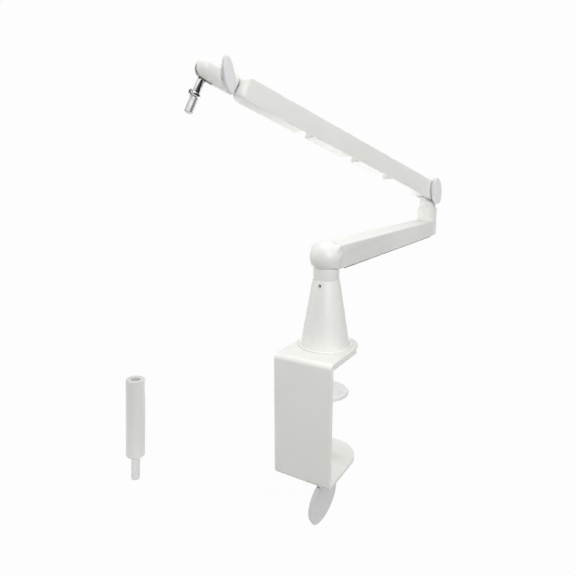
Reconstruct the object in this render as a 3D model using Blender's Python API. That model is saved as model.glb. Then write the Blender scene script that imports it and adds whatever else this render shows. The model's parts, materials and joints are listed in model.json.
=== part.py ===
"""Desk-clamp microphone boom arm, built as separate pieces in metres with +Z up.

The origin is on the base swivel's axis, in the plane of the desk top that the clamp sits on.
"""
from math import asin, atan2, cos, degrees, pi, radians, sin, tan

import bmesh
import bpy
from mathutils import Matrix, Vector

MM = 0.001

# Clearances
GAP = 0.3 * MM                     # between pieces that touch
SOLID_OVERLAP = 1.0 * MM           # how far one body reaches into another that it is joined to
PAST = 2.0 * MM                    # how far a cutter runs past the wall it cuts

# Smoothness of round pieces
ROUND_STEPS = 28
KNOB_STEPS = 24
SMALL_STEPS = 12
BEND_STEPS = 5
CORNER_STEPS = 2
SMOOTH_BELOW = radians(35)         # edges flatter than this are shaded smooth
BEVEL_ABOVE = radians(40)          # edges sharper than this are rounded

# Clamp bracket
CLAMP_WIDTH = 60.0 * MM
CLAMP_PLATE = 4.5 * MM
CLAMP_BACK = 47.0 * MM             # from the swivel axis to the back face
CLAMP_REACH = 36.0 * MM            # from the swivel axis to the flanges' rounded tip
CLAMP_THROAT = 114.4 * MM          # from the desk pad's face to the lower flange
CLAMP_BEND = 5.5 * MM              # outside radius of the two bends
CLAMP_EDGE = 0.5 * MM
DESK_PAD = 2.0 * MM
DESK_PAD_INSET = 0.6 * MM

# Clamp screw and pressure pad
PAD_DROP = 40.5 * MM               # from the desk plane to the pressure pad's face, as photographed
PAD_RADIUS = 24.6 * MM
PAD_RIM = 1.7 * MM
PAD_FACE = 0.8 * MM
PAD_FACE_INSET = 1.0 * MM
PAD_HUB_RADIUS = 8.5 * MM
PAD_HUB = 9.0 * MM
PAD_HUB_FLARE = 2.0 * MM           # how much wider the hub is where it meets the rim
PAD_EDGE = 0.8 * MM
SCREW_RADIUS = 4.9 * MM
SCREW_TIP_RADIUS = 3.2 * MM
SCREW_TIP = 6.0 * MM
BUSH_FLANGE_RADIUS = 10.0 * MM
BUSH_FLANGE = 3.0 * MM
BUSH_BODY_RADIUS = 7.4 * MM
BUSH_STANDOUT = 1.5 * MM
RETAINER_RADIUS = 1.6 * MM
RETAINER_HEAD_RADIUS = 4.0 * MM
RETAINER_HEAD = 2.0 * MM
RETAINER_LENGTH = 11.0 * MM

# Clamp handle, an oval paddle that folds on a pin
HANDLE_LENGTH = 58.0 * MM
HANDLE_WIDTH = 23.4 * MM
HANDLE_THICKNESS = 8.0 * MM
HANDLE_EDGE = 1.6 * MM
HANDLE_DROP = 126.0 * MM           # from the pressure pad's face to the fold pin
HANDLE_HEADING = 56.0              # degrees, direction of the paddle's face
HANDLE_LEAN = 22.0                 # degrees off the vertical, as photographed
HANDLE_LEAN_ROOM = 3.0             # degrees that it can lean further
TONGUE_THICKNESS = 3.8 * MM
TONGUE_RADIUS = 4.6 * MM
TONGUE_PAST_HANDLE = 1.5 * MM      # how far the screw's flat reaches above the paddle
PIN_RADIUS = 2.0 * MM

# Base cone
BASE_RING_RADIUS = 26.4 * MM
BASE_RING = 2.0 * MM
BASE_RING_WIDTH = 4.1 * MM
BASE_RING_EDGE = 0.6 * MM
CONE_FOOT_RADIUS = 24.6 * MM
CONE_TOP_RADIUS = 13.1 * MM
CONE_TOP = 73.1 * MM               # above the desk plane
CONE_LIP = 1.2 * MM
CONE_EDGE = 0.5 * MM
BASE_SCREW_CIRCLE = 15.0 * MM
BASE_SCREW_RADIUS = 2.0 * MM
BASE_SCREW_HEAD_RADIUS = 4.0 * MM
BASE_SCREW_REACH = 14.0 * MM
BASE_SCREW_COUNT = 3

# Swivel post, shared by the lower arm, the cone's bushes and the extension
SPIGOT_RADIUS = 5.75 * MM
SPIGOT_LENGTH = 36.0 * MM
POST_BUSH_WALL = 2.0 * MM
POST_BUSH_SPLIT = 16.0 * MM        # length of the lower bush
COLLAR_RADIUS = 12.45 * MM
COLLAR_HEIGHT = 10.4 * MM
COLLAR_EDGE = 0.6 * MM
POST_BOSS_RADIUS = 8.0 * MM
POST_BOSS = 5.5 * MM
POST_GROOVE = 0.8 * MM
POST_GROOVE_WIDTH = 4.6 * MM
POST_BOLT_RADIUS = 2.5 * MM
POST_BOLT_HEAD_RADIUS = 4.2 * MM
POST_BOLT_HEAD = 3.0 * MM
POST_BOLT_GRIP = 14.0 * MM         # thread length above the collar
SET_SCREW_RADIUS = 1.5 * MM
SET_SCREW_BELOW_TOP = 4.5 * MM
SET_SCREW_LENGTH = 6.6 * MM
SET_SCREW_HEX_RADIUS = 0.85 * MM
SET_SCREW_HEX_DEPTH = 2.0 * MM

# Lower arm
LOWER_LENGTH = 351.0 * MM          # base swivel axis to elbow swivel axis
LOWER_WIDTH = 29.6 * MM
LOWER_HEIGHT = 22.7 * MM
ARM_WALL = 2.0 * MM
ARM_EDGE = 1.6 * MM
ARM_INSIDE_CORNER = 0.4 * MM
BASE_CAP_LENGTH = 4.0 * MM         # straight part behind the rounded end at the base
ELBOW_CAP_LENGTH = 17.0 * MM       # straight part behind the rounded end at the elbow
CAP_PLUG = 14.0 * MM
BASE_END_CROWN = 14.0 * MM
BASE_END_FOOT = 7.0 * MM
BASE_BALL_RADIUS = 16.0 * MM
BASE_BALL_DEPTH = 12.2 * MM        # the ball's middle below the arm's top
ELBOW_END_CROWN = 1.6 * MM
ELBOW_END_FOOT = 5.5 * MM
LOWER_COVER_SHARES = ((0.0, 0.214), (0.2236, 0.496), (0.5056, 1.0))   # of the covered length
LOWER_COVER_ROOM = 3.0 * MM        # from the collar and from the tube's end
LOWER_COVER_SIDE = 1.8 * MM        # from a cover's side to the tube's side
LOWER_COVER = 1.2 * MM
LOWER_COVER_EDGE = 0.3 * MM
COVER_PEG_RADIUS = 2.0 * MM
COVER_PEG_STANDOUT = 1.0 * MM      # past the tube's wall

# Elbow swivel
SLEEVE_RADIUS = 14.2 * MM
SLEEVE_HEIGHT = 18.7 * MM
SLEEVE_EDGE = 1.0 * MM
ELBOW_SHAFT_RADIUS = 6.0 * MM
ELBOW_BUSH_WALL = 2.7 * MM
ELBOW_NUT_RADIUS = 9.0 * MM
ELBOW_NUT = 5.0 * MM
ELBOW_WASHER = 1.2 * MM
ELBOW_RECESS_RADIUS = 11.0 * MM
ELBOW_PLUG = 2.5 * MM
ELBOW_PLUG_STEP = 1.5 * MM
NECK_RADIUS = 11.85 * MM
NECK_HEIGHT = 9.0 * MM
NECK_EDGE = 0.8 * MM
YOKE_THICKNESS = 11.0 * MM
YOKE_ROUND = 11.0 * MM

# Upper arm
PIVOT_RISE = 25.9 * MM             # elbow pivot above the sleeve's top
PIVOT_OFFSET = 2.8 * MM            # elbow pivot beside the swivel axis, towards the head
UPPER_HEADING = 241.3              # degrees from +X, seen from above
UPPER_PITCH = 20.8                 # degrees above the horizontal
UPPER_WIDTH = 24.7 * MM
UPPER_HEIGHT = 25.7 * MM
UPPER_LENGTH = 329.0 * MM          # elbow pivot to where the rounded end starts
UPPER_WALL = 1.8 * MM
CHANNEL_HEIGHT = 9.5 * MM          # open cable channel under the closed box
SKIRT_EDGE = 0.5 * MM
FORK_LENGTH = 13.6 * MM            # elbow pivot to the fork's seam with the tube
FORK_ROOT = 12.2 * MM
FORK_EDGE = 0.8 * MM
FRICTION_WASHER = 0.8 * MM
FRICTION_WASHER_RADIUS = 8.5 * MM
HEAD_CAP_LENGTH = 2.0 * MM
HEAD_END_CROWN = 10.0 * MM
HEAD_END_FOOT = 8.0 * MM
CAP_SCREW_RADIUS = 1.4 * MM
CAP_SCREW_HEAD_RADIUS = 2.6 * MM
CAP_SCREW_HEAD = 1.5 * MM
CAP_SCREW_REACH = 7.0 * MM

# Cable covers: start and end of each, as shares of the upper arm's tube
COVER_SHARES = ((0.0, 0.2184), (0.2807, 0.4204), (0.4763, 0.68), (0.7366, 1.0))
COVER_WALL = 1.8 * MM
COVER_EDGE = 1.0 * MM

# Elbow bolt and knobs
BOLT_RADIUS = 3.0 * MM
BOLT_HEAD_RADIUS = 6.0 * MM
BOLT_HEAD = 3.2 * MM
ELBOW_KNOB_LENGTH = 40.0 * MM
ELBOW_KNOB_WIDTH = 16.8 * MM
HEAD_KNOB_LENGTH = 40.8 * MM
HEAD_KNOB_WIDTH = 13.2 * MM
KNOB_THICKNESS = 7.5 * MM
KNOB_EDGE = 2.0 * MM
KNOB_STANDOFF = 2.2 * MM           # boss between the knob's blade and the arm's side
KNOB_BOSS_RADIUS = 6.2 * MM
KNOB_LEAN = 29.0                   # degrees, as photographed
INSERT_RADIUS = 4.6 * MM
INSERT_LENGTH = 7.0 * MM
INSERT_STANDOUT = 1.0 * MM         # how far the knob's insert reaches into its boss
HEAD_INSERT_DEPTH = 1.2 * MM       # how far the head's insert lies below its surface

# Head
HEAD_SHAFT_RADIUS = 6.0 * MM
HEAD_SHAFT_LENGTH = 23.0 * MM      # beyond the arm's rounded end
HEAD_SHAFT_ROOT = 12.0 * MM
HEAD_GROOVE = 0.9 * MM
HEAD_GROOVE_WIDTH = 6.6 * MM
HEAD_RADIUS = 12.2 * MM
HEAD_EDGE = 1.4 * MM
HEAD_KNOB_AT = 16.0 * MM           # from the housing's back face
STUD_PIVOT_AT = 36.8 * MM          # from the housing's back face
HEAD_SLOT = 7.0 * MM
HEAD_SLOT_ROOT = 12.2 * MM         # slot behind the pivot
HEAD_WASHER = 0.8 * MM
HEAD_WASHER_WIDTH = 2.1 * MM

# Microphone stud
STUD_LEAN = 4.6                    # degrees forward of square to the arm, as photographed
STUD_EYE_RADIUS = 8.3 * MM
STUD_RIM_RADIUS = 11.6 * MM        # round the eye, flush with the housing's nose
STUD_RIM_INSET = 0.8 * MM          # from the eye's sides
STUD_TAB_HALF = 4.2 * MM
STUD_SHAFT_RADIUS = 4.4 * MM
STUD_SHAFT_START = 13.0 * MM       # from the pivot
STUD_TIP_START = 34.0 * MM
STUD_END = 52.4 * MM
STUD_THREAD_RADIUS = 3.1 * MM
STUD_THREAD_LENGTH = 10.0 * MM
STUD_TIP_RADIUS = 4.76 * MM        # 3/8 inch thread, outside
STUD_TIP_EDGE = 0.7 * MM
STUD_PIN_RADIUS = 2.5 * MM
STUD_PIN_LENGTH = 16.0 * MM
LOCK_RING_AT = 31.5 * MM
LOCK_RING_RADIUS = 6.5 * MM
LOCK_RING_THICKNESS = 4.2 * MM
LOCK_RING_EDGE = 1.3 * MM
EAR_HEADING = 30.0                 # degrees round the stud
EAR_AT = 8.1 * MM                  # from the stud's axis to the middle of the loop
EAR_RADIUS = 3.2 * MM
EAR_HOLE_RADIUS = 1.4 * MM
EAR_THICKNESS = 1.8 * MM
EAR_EDGE = 0.6 * MM

# Extension post that stands beside the arm
RISER_PLACE = (-285.9 * MM, -7.7 * MM, -238.1 * MM)
RISER_LENGTH = 110.5 * MM
RISER_SOCKET_DEPTH = 40.0 * MM
RISER_EDGE = 0.6 * MM
RISER_LEAN = 3.84                  # degrees off the vertical, as photographed
RISER_HEADING = 48.46              # degrees from +X, direction of the lean

# Heights and lengths that follow from the sizes above
FLANGE_UNDER = DESK_PAD + GAP
FLANGE_TOP = FLANGE_UNDER + CLAMP_PLATE
LOWER_FLANGE_TOP = -CLAMP_THROAT
LOWER_FLANGE_UNDER = LOWER_FLANGE_TOP - CLAMP_PLATE
CONE_BOTTOM = FLANGE_TOP + GAP
CONE_SKIRT = CONE_BOTTOM + BASE_RING + GAP
COLLAR_BOTTOM = CONE_TOP + GAP
COLLAR_TOP = COLLAR_BOTTOM + COLLAR_HEIGHT
SPIGOT_BOTTOM = COLLAR_BOTTOM - SPIGOT_LENGTH
SET_SCREW_HEIGHT = CONE_TOP - SET_SCREW_BELOW_TOP
ARM_BOTTOM = COLLAR_TOP + GAP
ARM_TOP = ARM_BOTTOM + LOWER_HEIGHT
SLEEVE_BOTTOM = ARM_TOP + GAP
SLEEVE_TOP = SLEEVE_BOTTOM + SLEEVE_HEIGHT
NECK_BOTTOM = SLEEVE_TOP + GAP
PIVOT_HEIGHT = SLEEVE_TOP + PIVOT_RISE
FORK_SLOT_HALF = YOKE_THICKNESS / 2 + FRICTION_WASHER + 2 * GAP
TUBE_START = FORK_LENGTH + GAP
TUBE_END = UPPER_LENGTH - HEAD_CAP_LENGTH - GAP
HEAD_START = UPPER_LENGTH + UPPER_WIDTH / 2 + HEAD_WASHER + 2 * GAP
BOX_FLOOR = CHANNEL_HEIGHT - UPPER_HEIGHT / 2
KNOB_FACE = UPPER_WIDTH / 2 + GAP

FINISHES = {
    "white_paint": ((0.80, 0.80, 0.79), 0.42, 0.0),
    "white_plastic": ((0.76, 0.76, 0.76), 0.45, 0.0),
    "grey_plastic": ((0.58, 0.59, 0.60), 0.50, 0.0),
    "pale_rubber": ((0.62, 0.62, 0.61), 0.85, 0.0),
    "steel": ((0.55, 0.56, 0.58), 0.35, 1.0),
    "brass": ((0.72, 0.56, 0.28), 0.35, 1.0),
    "chrome": ((0.78, 0.79, 0.81), 0.08, 1.0),
    "satin_metal": ((0.66, 0.67, 0.69), 0.40, 1.0),
    "bearing_plastic": ((0.12, 0.12, 0.13), 0.55, 0.0),
}


# Scene helpers
def clear_scene():
    for item in list(bpy.data.objects):
        bpy.data.objects.remove(item, do_unlink=True)


def make_finishes():
    """One Principled material for each finish."""
    made = {}
    for name, (colour, roughness, metallic) in FINISHES.items():
        material = bpy.data.materials.new(name)
        material.use_nodes = True
        shader = material.node_tree.nodes["Principled BSDF"]
        shader.inputs["Base Color"].default_value = (*colour, 1.0)
        shader.inputs["Roughness"].default_value = roughness
        shader.inputs["Metallic"].default_value = metallic
        made[name] = material
    return made


def axis_frame(name, parent=None, place=(0.0, 0.0, 0.0), turn=Matrix.Identity(4)):
    """Empty on a joint's axis, which carries the pieces that move with it."""
    frame = bpy.data.objects.new(name, None)
    bpy.context.collection.objects.link(frame)
    frame.parent = parent
    frame.matrix_local = Matrix.Translation(place) @ turn
    return frame


def piece(name, shape, finish, parent=None, place=(0.0, 0.0, 0.0), edge=0.0):
    """Named object from a closed bmesh, with its finish and, where edge is given, rounded edges."""
    bmesh.ops.recalc_face_normals(shape, faces=shape.faces)
    mesh = bpy.data.meshes.new(name)
    shape.to_mesh(mesh)
    shape.free()
    mesh.materials.append(MATERIALS[finish])
    mesh.shade_smooth()
    mesh.set_sharp_from_angle(angle=SMOOTH_BELOW)
    item = bpy.data.objects.new(name, mesh)
    bpy.context.collection.objects.link(item)
    item.parent = parent
    item.location = place
    if edge:
        bevel = item.modifiers.new("rounded_edges", "BEVEL")
        bevel.width = edge
        bevel.segments = 2
        bevel.limit_method = "ANGLE"
        bevel.angle_limit = BEVEL_ABOVE
    return item


def apply_tool(item, shape, operation):
    """Boolean of a closed shape, given in the item's own frame."""
    number = len(item.modifiers)
    tool = piece(f"{item.name}_tool_{number}", shape, "steel", item)
    tool.hide_render = True
    tool.display_type = "WIRE"
    boolean = item.modifiers.new(f"{operation.lower()}_{number}", "BOOLEAN")
    boolean.operation = operation
    boolean.object = tool
    boolean.solver = "EXACT"


def cut(item, shape):
    apply_tool(item, shape, "DIFFERENCE")


def join(item, shape):
    apply_tool(item, shape, "UNION")


# Outlines
def rounded(corners, steps=CORNER_STEPS):
    """Outline through (x, y, radius) corners, each rounded by its own radius."""
    points = []
    for index, (x, y, radius) in enumerate(corners):
        corner = Vector((x, y))
        if radius == 0:
            points.append((x, y))
            continue
        before = (Vector(corners[index - 1][:2]) - corner).normalized()
        after = (Vector(corners[(index + 1) % len(corners)][:2]) - corner).normalized()
        half = before.angle(after) / 2
        centre = corner + (before + after).normalized() * (radius / sin(half))
        start = corner + before * (radius / tan(half)) - centre
        end = corner + after * (radius / tan(half)) - centre
        sweep = atan2(start.x * end.y - start.y * end.x, start.dot(end))
        for step in range(steps + 1):
            spoke = Matrix.Rotation(sweep * step / steps, 2) @ start
            points.append(tuple(centre + spoke))
    return points


def arc(centre, radius, start, end, steps):
    """Points on an arc, with its angles in degrees."""
    points = []
    for step in range(steps + 1):
        angle = radians(start + (end - start) * step / steps)
        points.append((centre[0] + radius * cos(angle), centre[1] + radius * sin(angle)))
    return points


def circle(radius, steps=ROUND_STEPS, centre=(0.0, 0.0)):
    return arc(centre, radius, 0, 360, steps)[:-1]


def rectangle(low_x, low_y, high_x, high_y, radius=0.0):
    corners = ((low_x, low_y), (high_x, low_y), (high_x, high_y), (low_x, high_y))
    return rounded([(x, y, radius) for x, y in corners])


def leaf(length, width):
    """Oval outline with its long axis along the second coordinate."""
    points = []
    for step in range(ROUND_STEPS):
        angle = 2 * pi * step / ROUND_STEPS
        points.append((width / 2 * cos(angle), length / 2 * sin(angle)))
    return points


# Solids
def prism(outline, low, high):
    """Outline in the XY plane, extruded along Z."""
    shape = bmesh.new()
    base = shape.faces.new([shape.verts.new((x, y, low)) for x, y in outline])
    grown = bmesh.ops.extrude_face_region(shape, geom=[base])
    lifted = [part for part in grown["geom"] if isinstance(part, bmesh.types.BMVert)]
    bmesh.ops.translate(shape, verts=lifted, vec=(0, 0, high - low))
    return shape


def along_x(shape, place=(0.0, 0.0, 0.0)):
    """Turns a shape's XY plane into YZ, so that its Z runs along X, and moves it."""
    turn = Matrix(((0, 0, 1, 0), (1, 0, 0, 0), (0, 1, 0, 0), (0, 0, 0, 1)))
    bmesh.ops.transform(shape, matrix=Matrix.Translation(place) @ turn, verts=shape.verts)
    return shape


def along_y(shape, place=(0.0, 0.0, 0.0)):
    """Turns a shape's XY plane into XZ, so that its Z runs along Y, and moves it."""
    turn = Matrix(((1, 0, 0, 0), (0, 0, 1, 0), (0, 1, 0, 0), (0, 0, 0, 1)))
    bmesh.ops.transform(shape, matrix=Matrix.Translation(place) @ turn, verts=shape.verts)
    return shape


def moved(shape, place):
    bmesh.ops.translate(shape, verts=shape.verts, vec=place)
    return shape


def merged(shapes):
    """One bmesh with several bodies that lie apart."""
    whole = bmesh.new()
    for shape in shapes:
        mesh = bpy.data.meshes.new("body")
        bmesh.ops.recalc_face_normals(shape, faces=shape.faces)
        shape.to_mesh(mesh)
        shape.free()
        whole.from_mesh(mesh)
        bpy.data.meshes.remove(mesh)
    return whole


def block(low, high):
    return prism(rectangle(low[0], low[1], high[0], high[1]), low[2], high[2])


def turned(profile, steps=ROUND_STEPS):
    """Solid of revolution about Z from (radius, height) points, closed on the axis or as a ring."""
    shape = bmesh.new()
    points = [shape.verts.new((radius, 0, height)) for radius, height in profile]
    edges = [shape.edges.new(pair) for pair in zip(points, points[1:])]
    if profile[0][0] > 0:
        edges.append(shape.edges.new((points[-1], points[0])))
    bmesh.ops.spin(shape, geom=points + edges, cent=(0, 0, 0), axis=(0, 0, 1),
                   angle=2 * pi, steps=steps, use_merge=True)
    bmesh.ops.remove_doubles(shape, verts=shape.verts, dist=0.0005 * MM)
    return shape


def rod(radius, low, high, steps=ROUND_STEPS):
    return prism(circle(radius, steps), low, high)


def tube(inner, outer, low, high, edge=0.0, steps=ROUND_STEPS):
    wall = rounded([(inner, low, 0), (outer, low, edge), (outer, high, edge), (inner, high, 0)])
    return turned(wall, steps)


def headed_screw(shank, head, head_height, reach, steps=SMALL_STEPS):
    """Screw whose head's underside lies at height 0 and whose shank points up."""
    return turned([(0, -head_height), (head, -head_height), (head, 0),
                   (shank, 0), (shank, reach), (0, reach)], steps)


def countersunk_screw(shank, head, reach, steps=SMALL_STEPS):
    """Screw whose flat face lies at height 0 and whose shank points up."""
    return turned([(0, 0), (head, 0), (shank, head - shank), (shank, reach), (0, reach)], steps)


def domed_end(radius, low, high, back, crown, foot, edge, steps=16):
    """Half-round end with its nose at +X and a straight block of length back behind it.

    The top edge is rounded by crown at the nose and by edge at the sides, the bottom edge by foot.
    """
    shape = bmesh.new()
    bottom = shape.verts.new((0, 0, low))
    top = shape.verts.new((0, 0, high))
    columns = []
    for step in range(steps + 1):
        angle = pi * (step / steps - 0.5)
        share = cos(angle)
        low_edge = edge + (foot - edge) * share
        high_edge = edge + (crown - edge) * share
        profile = arc((radius - low_edge, low + low_edge), low_edge, -90, 0, CORNER_STEPS)
        profile += arc((radius - high_edge, high - high_edge), high_edge, 0, 90, CORNER_STEPS)
        columns.append([shape.verts.new((reach * cos(angle), reach * sin(angle), height))
                        for reach, height in profile])
    for index, end in ((0, columns[0]), (len(columns) + 1, columns[-1])):
        columns.insert(index, [shape.verts.new(point.co - Vector((back, 0, 0))) for point in end])
    for left, right in zip(columns, columns[1:] + columns[:1]):
        shape.faces.new((bottom, left[0], right[0]))
        shape.faces.new((top, right[-1], left[-1]))
        for index in range(len(left) - 1):
            shape.faces.new((left[index], left[index + 1], right[index + 1], right[index]))
    return shape


def turned_over(shape, degrees, axis):
    turn = Matrix.Rotation(radians(degrees), 3, axis)
    bmesh.ops.rotate(shape, cent=(0, 0, 0), matrix=turn, verts=shape.verts)
    return shape


# Clamp
def flange_plan(inset, back):
    """Plan of the clamp: straight at the back, half-round at the front."""
    half = CLAMP_WIDTH / 2 - inset
    centre = CLAMP_REACH - CLAMP_WIDTH / 2
    front = arc((0, centre), half, 0, 180, ROUND_STEPS)
    return [(half, back)] + front + [(-half, back)]


def base_screw_places():
    places = []
    for number in range(BASE_SCREW_COUNT):
        angle = pi / 2 + 2 * pi * number / BASE_SCREW_COUNT
        places.append((BASE_SCREW_CIRCLE * cos(angle), BASE_SCREW_CIRCLE * sin(angle)))
    return places


def make_bracket():
    back = -CLAMP_BACK
    front = CLAMP_REACH + PAST
    inner = CLAMP_BEND - CLAMP_PLATE
    profile = rounded([
        (front, LOWER_FLANGE_UNDER, 0), (front, LOWER_FLANGE_TOP, 0),
        (back + CLAMP_PLATE, LOWER_FLANGE_TOP, inner), (back + CLAMP_PLATE, FLANGE_UNDER, inner),
        (front, FLANGE_UNDER, 0), (front, FLANGE_TOP, 0),
        (back, FLANGE_TOP, CLAMP_BEND), (back, LOWER_FLANGE_UNDER, CLAMP_BEND),
    ], BEND_STEPS)
    side = CLAMP_WIDTH / 2 + PAST
    bracket = piece("clamp_bracket", along_x(prism(profile, -side, side)), "white_paint")
    plan = prism(flange_plan(0, back - PAST), LOWER_FLANGE_UNDER - PAST, FLANGE_TOP + PAST)
    apply_tool(bracket, plan, "INTERSECT")
    edges = bracket.modifiers.new("rounded_edges", "BEVEL")
    edges.width = CLAMP_EDGE
    edges.segments = 2
    edges.limit_method = "ANGLE"
    edges.angle_limit = BEVEL_ABOVE
    holes = [moved(countersunk_hole(), (x, y, FLANGE_UNDER)) for x, y in base_screw_places()]
    holes.append(rod(BUSH_BODY_RADIUS + GAP, LOWER_FLANGE_UNDER - PAST, LOWER_FLANGE_TOP + PAST))
    cut(bracket, merged(holes))


def countersunk_hole():
    """Cutter for a countersunk screw whose flat face lies at height 0."""
    head = BASE_SCREW_HEAD_RADIUS + GAP
    shank = BASE_SCREW_RADIUS + GAP
    return turned([(0, -PAST), (head, -PAST), (head, 0), (shank, head - shank),
                   (shank, CLAMP_PLATE + PAST), (0, CLAMP_PLATE + PAST)], SMALL_STEPS)


def make_clamp():
    make_bracket()
    pad_back = -CLAMP_BACK + CLAMP_BEND + GAP
    piece("desk_pad", prism(flange_plan(DESK_PAD_INSET, pad_back), 0, DESK_PAD), "pale_rubber")
    bore = SCREW_RADIUS + GAP
    bottom = LOWER_FLANGE_UNDER - BUSH_STANDOUT
    step = LOWER_FLANGE_TOP + GAP
    piece("screw_bush", turned([(bore, bottom), (BUSH_BODY_RADIUS, bottom), (BUSH_BODY_RADIUS, step),
                                (BUSH_FLANGE_RADIUS, step), (BUSH_FLANGE_RADIUS, step + BUSH_FLANGE),
                                (bore, step + BUSH_FLANGE)]), "brass")


def make_pressure_pad():
    slide = axis_frame("clamp_slide", None, (0, 0, -PAD_DROP))
    piece("pressure_pad_face", rod(PAD_RADIUS - PAD_FACE_INSET, -PAD_FACE, 0), "pale_rubber", slide)
    top = -PAD_FACE - GAP
    under = top - PAD_RIM
    hub = under - PAD_HUB
    bore = SCREW_TIP_RADIUS + GAP
    bore_top = hub + SCREW_TIP + GAP
    shank = RETAINER_RADIUS + GAP
    head = RETAINER_HEAD_RADIUS + GAP
    head_floor = top - RETAINER_HEAD - 2 * GAP
    piece("pressure_pad", turned(rounded([
        (bore, hub, 0), (PAD_HUB_RADIUS, hub, PAD_EDGE), (PAD_HUB_RADIUS + PAD_HUB_FLARE, under, PAD_EDGE),
        (PAD_RADIUS, under, PAD_EDGE), (PAD_RADIUS, top, PAD_EDGE), (head, top, 0), (head, head_floor, 0),
        (shank, head_floor, 0), (shank, bore_top, 0), (bore, bore_top, 0)])), "white_plastic", slide)
    return slide


def make_clamp_screw(slide):
    """Screw, its retainer and its handle's pin, with heights counted from the fold pin."""
    turn = axis_frame("screw_turn", slide)
    heading = Matrix.Rotation(radians(HANDLE_HEADING), 4, "Z")
    end = axis_frame("screw_end", turn, (0, 0, -HANDLE_DROP), heading)
    top = HANDLE_DROP - PAD_FACE - GAP
    hub = top - PAD_RIM - PAD_HUB
    shoulder = hub - GAP
    tip_top = hub + SCREW_TIP
    hole = RETAINER_RADIUS + GAP
    hole_floor = top - RETAINER_HEAD - RETAINER_LENGTH - 2 * GAP
    tongue = HANDLE_LENGTH / 2 + TONGUE_PAST_HANDLE
    screw = piece("clamp_screw", turned([
        (0, tongue), (SCREW_RADIUS, tongue), (SCREW_RADIUS, shoulder), (SCREW_TIP_RADIUS, shoulder),
        (SCREW_TIP_RADIUS, tip_top), (hole, tip_top), (hole, hole_floor), (0, hole_floor)]), "steel", end)
    outline = arc((0, 0), TONGUE_RADIUS, 180, 360, SMALL_STEPS)
    outline += [(TONGUE_RADIUS, tongue + SOLID_OVERLAP), (-TONGUE_RADIUS, tongue + SOLID_OVERLAP)]
    join(screw, along_y(prism(outline, -TONGUE_THICKNESS / 2, TONGUE_THICKNESS / 2)))
    cut(screw, along_y(rod(PIN_RADIUS + GAP, -HANDLE_THICKNESS, HANDLE_THICKNESS, SMALL_STEPS)))
    retainer = headed_screw(RETAINER_RADIUS, RETAINER_HEAD_RADIUS, RETAINER_HEAD, RETAINER_LENGTH)
    place = (0, 0, top - RETAINER_HEAD - GAP)
    piece("pad_retaining_screw", turned_over(retainer, 180, "X"), "steel", end, place)
    half = HANDLE_THICKNESS / 2
    piece("handle_pin", along_y(rod(PIN_RADIUS, -half + GAP, half - GAP, SMALL_STEPS)), "steel", end)
    return end


def make_clamp_handle(screw_end):
    """Oval paddle, slotted where the screw's tongue swings."""
    fold = axis_frame("handle_fold", screw_end, (0, 0, 0), Matrix.Rotation(radians(HANDLE_LEAN), 4, "Y"))
    half = HANDLE_THICKNESS / 2
    handle = piece("clamp_handle", along_y(prism(leaf(HANDLE_LENGTH, HANDLE_WIDTH), -half, half)),
                   "grey_plastic", fold, edge=HANDLE_EDGE)
    room = TONGUE_RADIUS + 2 * GAP
    top = HANDLE_LENGTH / 2 + PAST
    side = HANDLE_WIDTH / 2 + PAST
    slant = tan(radians(HANDLE_LEAN + HANDLE_LEAN_ROOM))
    slot = [(-room, -room), (side, -room), (side, top), (-room - top * slant, top), (-room, 0)]
    slot_half = TONGUE_THICKNESS / 2 + GAP
    cut(handle, along_y(prism(slot, -slot_half, slot_half)))
    cut(handle, along_y(rod(PIN_RADIUS + GAP, -half - PAST, half + PAST, SMALL_STEPS)))


# Base
def make_base():
    ring = tube(BASE_RING_RADIUS - BASE_RING_WIDTH, BASE_RING_RADIUS, CONE_BOTTOM,
                CONE_BOTTOM + BASE_RING, BASE_RING_EDGE)
    piece("base_ring", ring, "white_paint")
    foot = BASE_RING_RADIUS - BASE_RING_WIDTH - GAP
    bore = SPIGOT_RADIUS + POST_BUSH_WALL + 2 * GAP
    bore_floor = SPIGOT_BOTTOM - 2 * GAP
    cone = piece("base_cone", turned(rounded([
        (0, CONE_BOTTOM, 0), (foot, CONE_BOTTOM, 0), (foot, CONE_SKIRT, 0),
        (CONE_FOOT_RADIUS, CONE_SKIRT, CONE_EDGE), (CONE_TOP_RADIUS, CONE_TOP, CONE_LIP),
        (bore, CONE_TOP, 0), (bore, bore_floor, 0), (0, bore_floor, 0)])), "white_paint")
    holes = [moved(rod(BASE_SCREW_RADIUS + GAP, CONE_BOTTOM - PAST, FLANGE_UNDER + BASE_SCREW_REACH + GAP,
                       SMALL_STEPS), (x, y, 0)) for x, y in base_screw_places()]
    holes.append(set_screw_hole(bore - PAST, CONE_FOOT_RADIUS))
    cut(cone, merged(holes))
    for number, (x, y) in enumerate(base_screw_places(), 1):
        screw = countersunk_screw(BASE_SCREW_RADIUS, BASE_SCREW_HEAD_RADIUS, BASE_SCREW_REACH)
        piece(f"base_fixing_screw_{number}", screw, "steel", None, (x, y, FLANGE_UNDER))
    make_post_bushes(bore_floor)
    make_set_screw()


def set_screw_hole(start, end):
    """Radial cutter that points backwards at the set screw's height."""
    radius = SET_SCREW_RADIUS + GAP
    return along_y(rod(radius, -end, -start, SMALL_STEPS), (0, 0, SET_SCREW_HEIGHT))


def make_post_bushes(bore_floor):
    inner = SPIGOT_RADIUS + GAP
    outer = inner + POST_BUSH_WALL
    split = bore_floor + GAP + POST_BUSH_SPLIT
    piece("base_lower_bush", tube(inner, outer, bore_floor + GAP, split), "bearing_plastic")
    upper = piece("base_upper_bush", tube(inner, outer, split + GAP, CONE_TOP - GAP), "bearing_plastic")
    cut(upper, set_screw_hole(inner - PAST, outer + PAST))


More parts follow.
